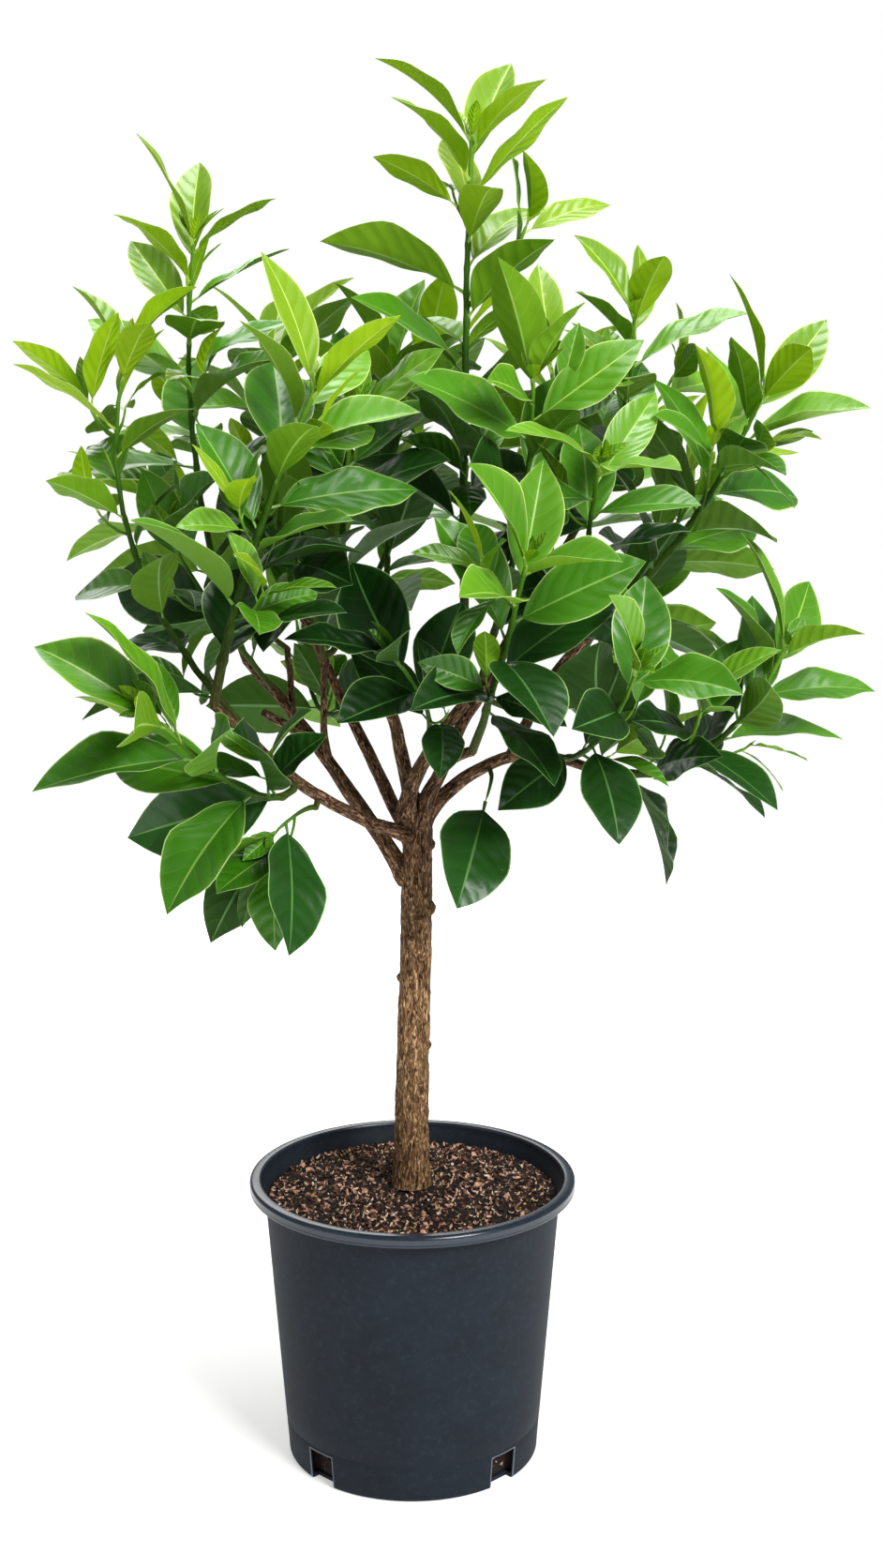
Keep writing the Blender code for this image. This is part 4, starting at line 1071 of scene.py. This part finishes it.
def grow_leaves(owner, row, rng, holds):
    """The leaves of one stem, topmost first, each with its age from 0 at the tip to 1."""
    path, _, _, kind, bare, count, leaf_length, tip_side = row
    if tip_side is None:
        tip_side = rng.uniform(0.0, 360.0)
    leaves = []
    path_frames = frames(path)
    for step in range(count):
        share = (count - step) / count
        crowded = 1.0 - (1.0 - share) ** TIP_CROWDING
        place_on = bare + (1.0 - bare) * crowded * LAST_LEAF_PLACE
        base, heading = along(path, place_on)
        frame_here = path_frames[round(place_on * (len(path) - 1))]
        side = tip_side + LEAF_TURN * step + rng.uniform(-TURN_SPREAD, TURN_SPREAD)
        angle = TIP_ANGLE + (FOOT_ANGLE - TIP_ANGLE) * math.sqrt(1.0 - share)
        angle += rng.uniform(-ANGLE_SPREAD, ANGLE_SPREAD)
        length = leaf_length * (LONGEST_SHARE - TIP_SHORTENING * share ** 3)
        length *= 1.0 + rng.uniform(-LENGTH_SPREAD, LENGTH_SPREAD)
        droop = LEAF_DROOP * (1.0 - share)
        roll = rng.uniform(-LEAF_ROLL, LEAF_ROLL)
        for turn, angle_share, length_share in LEAF_TRIES:
            leaf = place_leaf(base, heading, radial(frame_here, side + turn),
                              angle * angle_share, length * length_share, droop, roll)
            if holds(midrib(leaf, MIDDLE_SHARE)) and is_clear(owner, leaf):
                stand(owner, *leaf_blade(leaf))
                leaves.append((leaf, 1.0 - share, kind))
                break
    return leaves


for path, radii in bough_paths.values():
    stand("boughs", *skin(path, radii, BOUGH_SIDES))
for name, rows in stems.items():
    for path, radius, taper, *_ in rows:
        stand(name, *skin(path, even_radii(radius, taper * radius, len(path)), STEM_SIDES))
# A leaf belongs nearer to its own shoot's stem and twigs than to any other's.
spaces = {name: [point for row in rows if row[3] != "spray" for point in points_along(row[0])]
          for name, rows in stems.items()}
leaves_of = {name: [] for name in stems}
for kinds, stream in ((("stem", "twig"), ""), (("spray",), " spray leaves")):
    for name, rows in stems.items():
        others = [point for other, points in spaces.items() if other != name
                  for point in points]
        rng = random.Random(name + stream)
        for row in rows:
            if row[3] in kinds:
                leaves_of[name] += grow_leaves(
                    name, row, rng,
                    lambda spot: nearest(spaces[name], spot) < nearest(others, spot))
for name, rows in stems.items():
    dice = random.Random(name + " tufts")
    for path, _, _, kind, *_ in rows:
        if kind == "spray" or name == "hanging_shoot":
            continue
        heading = (path[-1] - path[-2]).normalized()
        tip_frame = frames(path)[-1]
        for step in range(TUFT_LEAVES):
            out = radial(tip_frame, LEAF_TURN * step + dice.uniform(0.0, TURN_SPREAD))
            leaflet = place_leaf(path[-1] - heading * TUFT_SINK, heading, out,
                                 dice.uniform(*TUFT_ANGLES), dice.uniform(*TUFT_LENGTHS), 0.0,
                                 dice.uniform(-LEAF_ROLL, LEAF_ROLL))
            leaves_of[name].append((leaflet, YOUNGEST, "tuft"))


# ---------------------------------------------------------------- green stems
# The skin of this year's shoots: a smooth waxy rind with a soft sheen, olive at the foot
# and fresh green towards the tip, with fine threads of grey cork along it.
STEM_WANDER = 0.0012
STEM_SEED = 40
JOINT_SWELL = 0.22
JOINT_LENGTH = 0.0022
ROUNDED_TIP = 0.35
THREAD_WIDTH = 0.0012
THREAD_SHARE = 0.2
STEM_AGES = {"stem": (0.95, 0.05), "twig": (0.30, 0.0), "spray": (0.30, 0.0)}

rind, tree, shader = new_material("green_stem_rind", 0.60, 1.45)
ramp = add(tree, "ValToRGB", [add(tree, "Attribute", attribute_name="age").outputs["Fac"]])
set_steps(ramp, ((0.0, "7FB034"), (0.18, "4C7C18"), (0.40, "2E5410"), (0.75, "2C400F"),
                 (1.0, "46381F")))
grain = add(tree, "Attribute", attribute_name="grain").outputs["Vector"]
drawn = add(tree, "VectorMath", [grain, (1.0, 1.0, THREAD_SHARE)], operation="MULTIPLY")
threads = add(tree, "TexNoise", {"Vector": drawn, "Scale": 1.0 / THREAD_WIDTH, "Detail": 3.0})
share = add(tree, "MapRange", {"Value": threads, "From Min": 0.45, "From Max": 0.8,
                               "To Max": 0.30})
tint = add(tree, "Mix", {"Factor": share, "A": ramp, "B": linear("6E8C36")},
           data_type="RGBA")
bump = add(tree, "Bump", {"Height": threads, "Strength": 0.35, "Distance": 0.0003})
feed(shader, {"Base Color": tint, "Specular IOR Level": 0.14, "Normal": bump})

stem_lines, stem_ages = [], []
for seed, (name, rows) in enumerate(stems.items(), start=STEM_SEED):
    joints = [leaf[0] for leaf, *_ in leaves_of[name]]
    for path, radius, taper, kind, *_ in rows:
        line = limb_line(path, even_radii(radius, taper * radius, len(path)),
                         STEM_WANDER if kind == "stem" else 0.0, seed)
        swollen = []
        for i, (point, girth) in enumerate(line):
            swell = JOINT_SWELL * math.exp(-(nearest(joints, point) / JOINT_LENGTH) ** 2 / 2.0)
            close = max(ROUNDED_TIP, min(1.0, (len(line) - 1 - i) / 2.0))
            swollen.append((point, girth * (1.0 + swell) * close))
        stem_lines.append(swollen)
        stem_ages.append(STEM_AGES[kind])
rinds = limb_piece("green_stems", stem_lines, stem_ages, sides=10, ridge_width=0.0016,
                   ridge_height=0.0012, finish=rind)
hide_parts(*stems)
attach(rinds, "root")


# ---------------------------------------------------------------- leaves, their blades
# One leaf is a thin, glossy, leathery blade on a short stalk: elliptic with a drawn-out
# tip, folded along a pale midrib, edged with a fine pale margin and paler underneath; the
# underside's paleness is partly its own and partly painted light for light shining through.
# Every leaf is that one blade, set in its place and bent, twisted and waved its own way.
STALK_END = 0.09
STALK_ROWS = 3
BLADE_ROWS = 20
TOP_COLUMNS = (-1.0, -0.965, -0.75, -0.5, -0.25, -0.034, 0.034, 0.25, 0.5, 0.75, 0.965, 1.0)
UNDER_COLUMNS = (1.0, 0.6, 0.3, 0.045, -0.045, -0.3, -0.6, -1.0)
STALK_HALF = 0.0125
TIP_HALF = 0.0012
STALK_DEPTH = 0.009
BLADE_DEPTH = 0.0030
RIB_DEPTH = 0.006
RIB_SPREAD = 0.3
# The powers that round the blade's foot and its tip, and where it is widest.
FOOT_POWER, TIP_POWER, WIDEST = 0.94, 0.90, 0.51
TIP_DRAW = (0.30, 10)
# How far from the midrib the rib's zone ends and the margin's begins.
RIB_EDGE, MARGIN_EDGE = 0.07, 0.94
ZONES = {"Top": 0, "Underside": 1, "Rib": 2, "Margin": 3}
RIPPLES = 15.0
ARC_SHORTENING = -0.667
VEIN_CURVE = 1.35
VEIN_SWEEP = 2.6
VEIN_STRAY = 0.060
VEIN_HALF_GAP = 0.070
VEIN_HALF_WIDTH = 0.008
VEIN_TINT = 0.22
PILLOW_WIDTH = 0.064
MOTTLE = 0.30
WAX_SPREAD = (-0.07, 0.09)
UNEVEN_SIZE = 0.012
DRIFT_SIZE = 0.045
RIB_TONE_SIZE = 0.015
# The four classes of leaf, by age and by painted shade, from young and painted lightest to
# old and painted darkest, each with the blade's width as a share of its length, how glossy
# its top is, then the light and dark green and the vein of its top and of its underside,
# and the light and dark colours of its rib and of its margin.
LEAF_AGE_AND_SHADE_TONES = (
    ("young_leaves", 0.33, 0.62, ("88AC1E", "64900E", "A6C650"), ("A0C616", "80AA0C", "B2D248"),
     ("C6DC70", "A6C840"), ("DCEC98", "C4DC6C")),
    ("fresh_leaves", 0.41, 0.62, ("6CA21E", "4A860E", "92BE50"), ("7EA820", "629214", "9CBC46"),
     ("AED062", "8CB840"), ("D0E48E", "B4D66C")),
    ("mature_leaves", 0.46, 0.56, ("508E14", "326C0A", "6E9E3A"), ("669220", "4C7A14", "82A240"),
     ("8CB654", "6C9C3E"), ("BCD886", "9CC464")),
    ("old_leaves", 0.49, 0.40, ("225016", "0F310A", "3E6830"), ("3A601C", "254810", "547A34"),
     ("5E8E46", "487836"), ("98BC74", "7CA65E")),
)
CROWN_MIDDLE = Vector((0.02, 0.0, 0.80))
CROWN_REACH = Vector((0.33, 0.29, 0.36))
# A leaf's look ages with its own age; it is painted darker deeper in the crown and lower
# down it, and lighter high in it, as painted shade and painted light.
OLDER_BY_AGE, PAINTED_SHADE_WITHIN, PAINTED_LIGHT_ALOFT, OLDER_BY = 0.70, 0.95, 0.44, 0.10
# The leaves just above the fork are painted darker still, as painted shade: how much, where, over
# what height.
SHADED, SHADED_AT, SHADED_OVER = 0.17, -0.33, 0.20
SPRAY_YOUTH = 0.20
LOOK_SPREAD = 0.10
# How much younger (below 0) or older than the rest a shoot's leaves look.
SHOOT_AGE = {
    "crown_top_shoot": -0.16, "low_right_shoot": -0.16, "low_left_shoot": -0.12,
    "left_shoot": 0.08, "centre_front_shoot": -0.12, "hanging_shoot": 0.45,
    "low_left_drooping_shoot": 0.4, "centre_low_shoot": 0.2, "right_shoot": 0.04,
    "upper_right_shoot": -0.02, "outer_left_shoot": -0.10,
}
# How much broader a shoot's leaves are than the rest.
BROADER = {"hanging_shoot": 0.36, "low_left_drooping_shoot": 0.10}
# The looks, age and painted shade together, at which fresh, mature and old leaves begin.
AGE_AND_SHADE_STEPS = (0.12, 0.52, 0.94)
# Each leaf's own shape, drawn in this order from between these bounds.
LEAF_SHAPES = {"arch": (0.14, 0.34), "fold": (0.20, 0.60), "cup": (-1.5, 0.5),
               "twist": (-0.45, 0.45), "wave": (0.02, 0.12), "phase": (0.0, 6.3),
               "bend": (-0.08, 0.08), "widen": (-0.16, 0.12), "shade": (0.0, 1.0)}


def half_width(share, width):
    """Half the leaf's width at a share of its length: a round stalk, then the blade, full
    at its sides and drawn out to a point."""
    if share <= STALK_END:
        return STALK_HALF * (1.0 - 0.25 * share / STALK_END)
    s = (share - STALK_END) / (1.0 - STALK_END)
    body = s ** FOOT_POWER * (1.0 - s) ** TIP_POWER * (1.0 - TIP_DRAW[0] * s ** TIP_DRAW[1])
    fullest = WIDEST ** FOOT_POWER * (1.0 - WIDEST) ** TIP_POWER
    return max(0.5 * width * body / fullest, TIP_HALF)


def blade_template(name, width):
    """The flat blade: stalk at the origin, tip at +Y, face up, one unit long."""
    ring = [(u, 1.0) for u in TOP_COLUMNS] + [(u, -1.0) for u in UNDER_COLUMNS]
    shares = [STALK_END * i / STALK_ROWS for i in range(STALK_ROWS)]
    shares += [STALK_END + (1.0 - STALK_END) * 0.5 * (1.0 - math.cos(math.pi * i / BLADE_ROWS))
               for i in range(BLADE_ROWS + 1)]
    points, chart, zones = [], [], []
    for row, share in enumerate(shares):
        for k, (u, side) in enumerate(ring):
            rib = max(0.0, 1.0 - abs(u) / RIB_SPREAD)
            stalk = max(0.0, 1.0 - share / (STALK_END + 0.05))
            depth = BLADE_DEPTH * (0.35 + 0.65 * rib) + STALK_DEPTH * stalk * (1.0 - u * u)
            if side < 0.0:
                depth += RIB_DEPTH * rib * (1.0 - share)
            points.append((u * half_width(share, width), share, side * depth))
            chart.append((0.5 + 0.5 * u, share))
            if row == len(shares) - 1:
                continue
            next_u, next_side = ring[(k + 1) % len(ring)]
            off_rib = abs(0.5 * (u + next_u))
            if row < STALK_ROWS or off_rib < RIB_EDGE:
                zones.append(ZONES["Rib"])
            elif side != next_side or (off_rib > MARGIN_EDGE and side > 0.0):
                zones.append(ZONES["Margin"])
            else:
                zones.append(ZONES["Top" if side > 0.0 else "Underside"])
    count = len(ring)
    faces = [(a, d, c, b) for a, b, c, d in bands(len(shares), count)]
    faces += [tuple(reversed(range(count))), tuple(range(len(points) - count, len(points)))]
    mesh = new_mesh(name, points, faces)
    mark(mesh, {"across": [point[0] for point in points],
                "along": [point[1] for point in points]})
    mark(mesh, {"zone": zones + [ZONES["Rib"]] * 2}, "INT", "FACE")
    layer = mesh.uv_layers.new(name="leaf_map")
    for loop in mesh.loops:
        layer.data[loop.index].uv = chart[loop.vertex_index]
    closed(mesh)
    mesh.set_sharp_from_angle(angle=math.radians(65.0))
    return place(name, mesh)


def blades_tree():
    """Sets a blade at each place, turned to its own facing, then bends it."""
    tree, given = new_tree("set_and_bent_blades", {
        "Places": "Geometry", "Blade": "Object", **dict.fromkeys(ZONES, "Material")}, "Leaves")
    known = {name: add(tree, "GeometryNodeInputNamedAttribute", {"Name": name})
             for name in ("length", "across", "along", *LEAF_SHAPES)}
    facing, sideways = [
        add(tree, "GeometryNodeInputNamedAttribute", {"Name": name}, data_type="FLOAT_VECTOR")
        for name in ("facing", "sideways")]
    turn = add(tree, "FunctionNodeAxesToRotation", {
        "Primary Axis": facing, "Secondary Axis": sideways},
        primary_axis="Z", secondary_axis="X")
    blade = add(tree, "GeometryNodeObjectInfo", {"Object": given["Blade"]})
    set_out = add(tree, "GeometryNodeInstanceOnPoints", {
        "Points": given["Places"], "Instance": blade.outputs["Geometry"], "Rotation": turn,
        "Scale": known["length"]})
    for step, operation, *values in (
            ("squared", "MULTIPLY", "along", "along"),
            ("arched", "MULTIPLY", "arch", "squared"),
            ("off_rib", "ABSOLUTE", "across"),
            ("folded", "MULTIPLY", "fold", "off_rib"),
            ("off_squared", "MULTIPLY", "off_rib", "off_rib"),
            ("cupped", "MULTIPLY_ADD", "cup", "off_squared", "folded"),
            ("screw", "MULTIPLY", "along", "across"),
            ("twisted", "MULTIPLY_ADD", "twist", "screw", "cupped"),
            ("travel", "MULTIPLY_ADD", "along", RIPPLES, "phase"),
            ("ripple", "SINE", "travel"),
            ("rippling", "MULTIPLY", "wave", "off_rib"),
            ("waved", "MULTIPLY_ADD", "rippling", "ripple", "twisted"),
            ("lift", "SUBTRACT", "waved", "arched"),
            ("widened", "MULTIPLY", "widen", "across"),
            ("sway", "MULTIPLY_ADD", "bend", "squared", "widened"),
            ("steeper", "MULTIPLY", "arched", "arch"),
            ("longer", "MULTIPLY", "steeper", "along"),
            ("drawn_in", "MULTIPLY", "longer", ARC_SHORTENING)):
        known[step] = add(tree, "Math", [known.get(value, value) for value in values],
                          operation=operation)
    shift = add(tree, "CombineXYZ", [known["sway"], known["drawn_in"], known["lift"]])
    life_size = add(tree, "VectorMath", {0: shift, "Scale": known["length"]},
                    operation="SCALE")
    shaped = add(tree, "GeometryNodeSetPosition", {
        "Geometry": add(tree, "GeometryNodeRealizeInstances", [set_out]),
        "Offset": add(tree, "FunctionNodeRotateVector", [life_size, turn])})
    zone = add(tree, "GeometryNodeInputNamedAttribute", {"Name": "zone"}, data_type="INT")
    for name, number in ZONES.items():
        in_zone = add(tree, "FunctionNodeCompare", {"A": zone, "B": number},
                      data_type="INT", operation="EQUAL")
        shaped = add(tree, "GeometryNodeSetMaterial", {
            "Geometry": shaped, "Selection": in_zone, "Material": given[name]})
    add(tree, "NodeGroupOutput", [shaped])
    return tree


def blade_finish(name, light, dark, vein, roughness, gloss, relief, edge_light):
    """Waxy leaf skin: side veins 14 mm apart run from the midrib to the margin, sunk in
    the upper face and raised below; the green shifts softly over and between leaves."""
    material, tree, shader = new_material(name, roughness, 1.45)
    axes = add(tree, "SeparateXYZ", [add(tree, "UVMap", uv_map="leaf_map")]).outputs
    spot = add(tree, "TexCoord").outputs["Object"]
    known = {"across": axes["X"], "along": axes["Y"]}
    for texture, size in (("uneven", UNEVEN_SIZE), ("drift", DRIFT_SIZE)):
        known[texture] = add(tree, "TexNoise", {"Vector": spot, "Scale": 1.0 / size,
                                                "Detail": 2.0})
    for step, operation, *values in (
            ("centred", "SUBTRACT", "across", 0.5),
            ("off_rib", "ABSOLUTE", "centred"),
            ("curved", "POWER", "off_rib", VEIN_CURVE),
            ("to_tip", "SUBTRACT", 1.0, "along"),
            ("fullness", "MULTIPLY", "to_tip", "along"),
            ("run_out", "MULTIPLY", "curved", "fullness"),
            ("slant", "MULTIPLY_ADD", "run_out", -VEIN_SWEEP, "along"),
            ("strayed", "MULTIPLY_ADD", "uneven", VEIN_STRAY, "slant"),
            ("tooth", "PINGPONG", "strayed", VEIN_HALF_GAP),
            ("mottled", "MULTIPLY_ADD", "drift", 2.0 * MOTTLE, -MOTTLE)):
        known[step] = add(tree, "Math", [known.get(value, value) for value in values],
                          operation=operation)
    pillow = add(tree, "MapRange", {"Value": known["tooth"], "From Max": PILLOW_WIDTH},
                 interpolation_type="SMOOTHSTEP")
    on_vein = add(tree, "MapRange", {"Value": known["tooth"], "From Max": VEIN_HALF_WIDTH,
                                     "To Min": VEIN_TINT, "To Max": 0.0})
    own_shade = add(tree, "Attribute", attribute_name="shade").outputs["Fac"]
    tone = add(tree, "Math", [own_shade, known["mottled"]], operation="ADD", use_clamp=True)
    near_edge = add(tree, "MapRange", {"Value": known["off_rib"], "From Min": 0.34,
                                       "From Max": 0.5, "To Max": edge_light},
                    interpolation_type="SMOOTHSTEP")
    tint = linear(dark)
    for share, code in ((tone, light), (near_edge, vein), (on_vein, vein)):
        tint = add(tree, "Mix", {"Factor": share, "A": tint, "B": linear(code)},
                   data_type="RGBA")
    wax = add(tree, "MapRange", {"Value": known["uneven"], "To Min": roughness + WAX_SPREAD[0],
                                 "To Max": roughness + WAX_SPREAD[1]})
    quilt = add(tree, "Bump", {"Height": pillow, "Strength": abs(relief), "Distance": 0.0010},
                invert=relief < 0.0)
    feed(shader, {"Base Color": tint, "Specular IOR Level": gloss, "Roughness": wax,
                  "Normal": quilt})
    return material


def rib_finish(name, light, dark, roughness):
    """Midribs, stalks and margins: smooth, waxy and paler than the blade."""
    material, tree, shader = new_material(name, roughness, 1.45)
    spot = add(tree, "TexCoord").outputs["Object"]
    drift = add(tree, "TexNoise", {"Vector": spot, "Scale": 1.0 / RIB_TONE_SIZE, "Detail": 2.0})
    feed(shader, {"Base Color": add(tree, "Mix", {
        "Factor": drift, "A": linear(dark), "B": linear(light)}, data_type="RGBA")})
    return material


by_age_and_shade = [[] for _ in LEAF_AGE_AND_SHADE_TONES]
for name, leaves in leaves_of.items():
    dice = random.Random(name + " looks")
    for leaf, age, kind in leaves:
        x, y, z = [off / reach for off, reach in
                   zip(midrib(leaf, MIDDLE_SHARE) - CROWN_MIDDLE, CROWN_REACH)]
        # Age is the leaf's own; its depth in the crown, its height and the band above the fork add
        # painted shade and painted light.
        look = OLDER_BY_AGE * age + PAINTED_SHADE_WITHIN * (1.0 - Vector((x, y, z)).length) + OLDER_BY
        look -= PAINTED_LIGHT_ALOFT * math.tanh(2.0 * z)
        look += SHADED * math.exp(-((z - SHADED_AT) / SHADED_OVER) ** 2)
        look += SHOOT_AGE.get(name, 0.0) + dice.uniform(-LOOK_SPREAD, LOOK_SPREAD)
        if kind == "spray":
            look -= SPRAY_YOUTH
        by_age_and_shade[sum(look > step for step in AGE_AND_SHADE_STEPS)].append((leaf, BROADER.get(name, 0.0), dice))

blades = blades_tree()
for (name, width, gloss, top, under, rib, margin), leaves in zip(LEAF_AGE_AND_SHADE_TONES, by_age_and_shade):
    marks = {mark_name: [] for mark_name in ("length", *LEAF_SHAPES)}
    turns = {"facing": [], "sideways": []}
    for (base, pointing, face, length), broader, dice in leaves:
        turns["facing"].extend(face)
        turns["sideways"].extend(pointing.cross(face))
        marks["length"].append(length)
        for mark_name, bounds in LEAF_SHAPES.items():
            marks[mark_name].append(dice.uniform(*bounds))
        marks["widen"][-1] += broader
    blade = blade_template(name + "_blade", width)
    piece = place(name, new_mesh(name, [leaf[0] for leaf, *_ in leaves], ()))
    mark(piece.data, marks)
    mark(piece.data, turns, "FLOAT_VECTOR")
    # Each class's materials carry its greens, which are partly the leaves' age and partly painted
    # shade and painted light.
    kind = name.split("_")[0] + "_leaf_"
    grow(piece, blades, {
        "Blade": blade, "Top": blade_finish(kind + "top", *top, 0.34, gloss, 0.44, 0.30),
        # The undersides' brighter, yellower greens are partly their own colour and partly painted
        # light for light shining through the leaf.
        "Underside": blade_finish(kind + "underside", *under, 0.55, 0.16, -0.44, 0.12),
        "Rib": rib_finish(kind + "rib", *rib, 0.45),
        "Margin": rib_finish(kind + "margin", *margin, 0.45)})
    bpy.data.objects.remove(blade, do_unlink=True)
    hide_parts(*stems)
    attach(piece, "root")
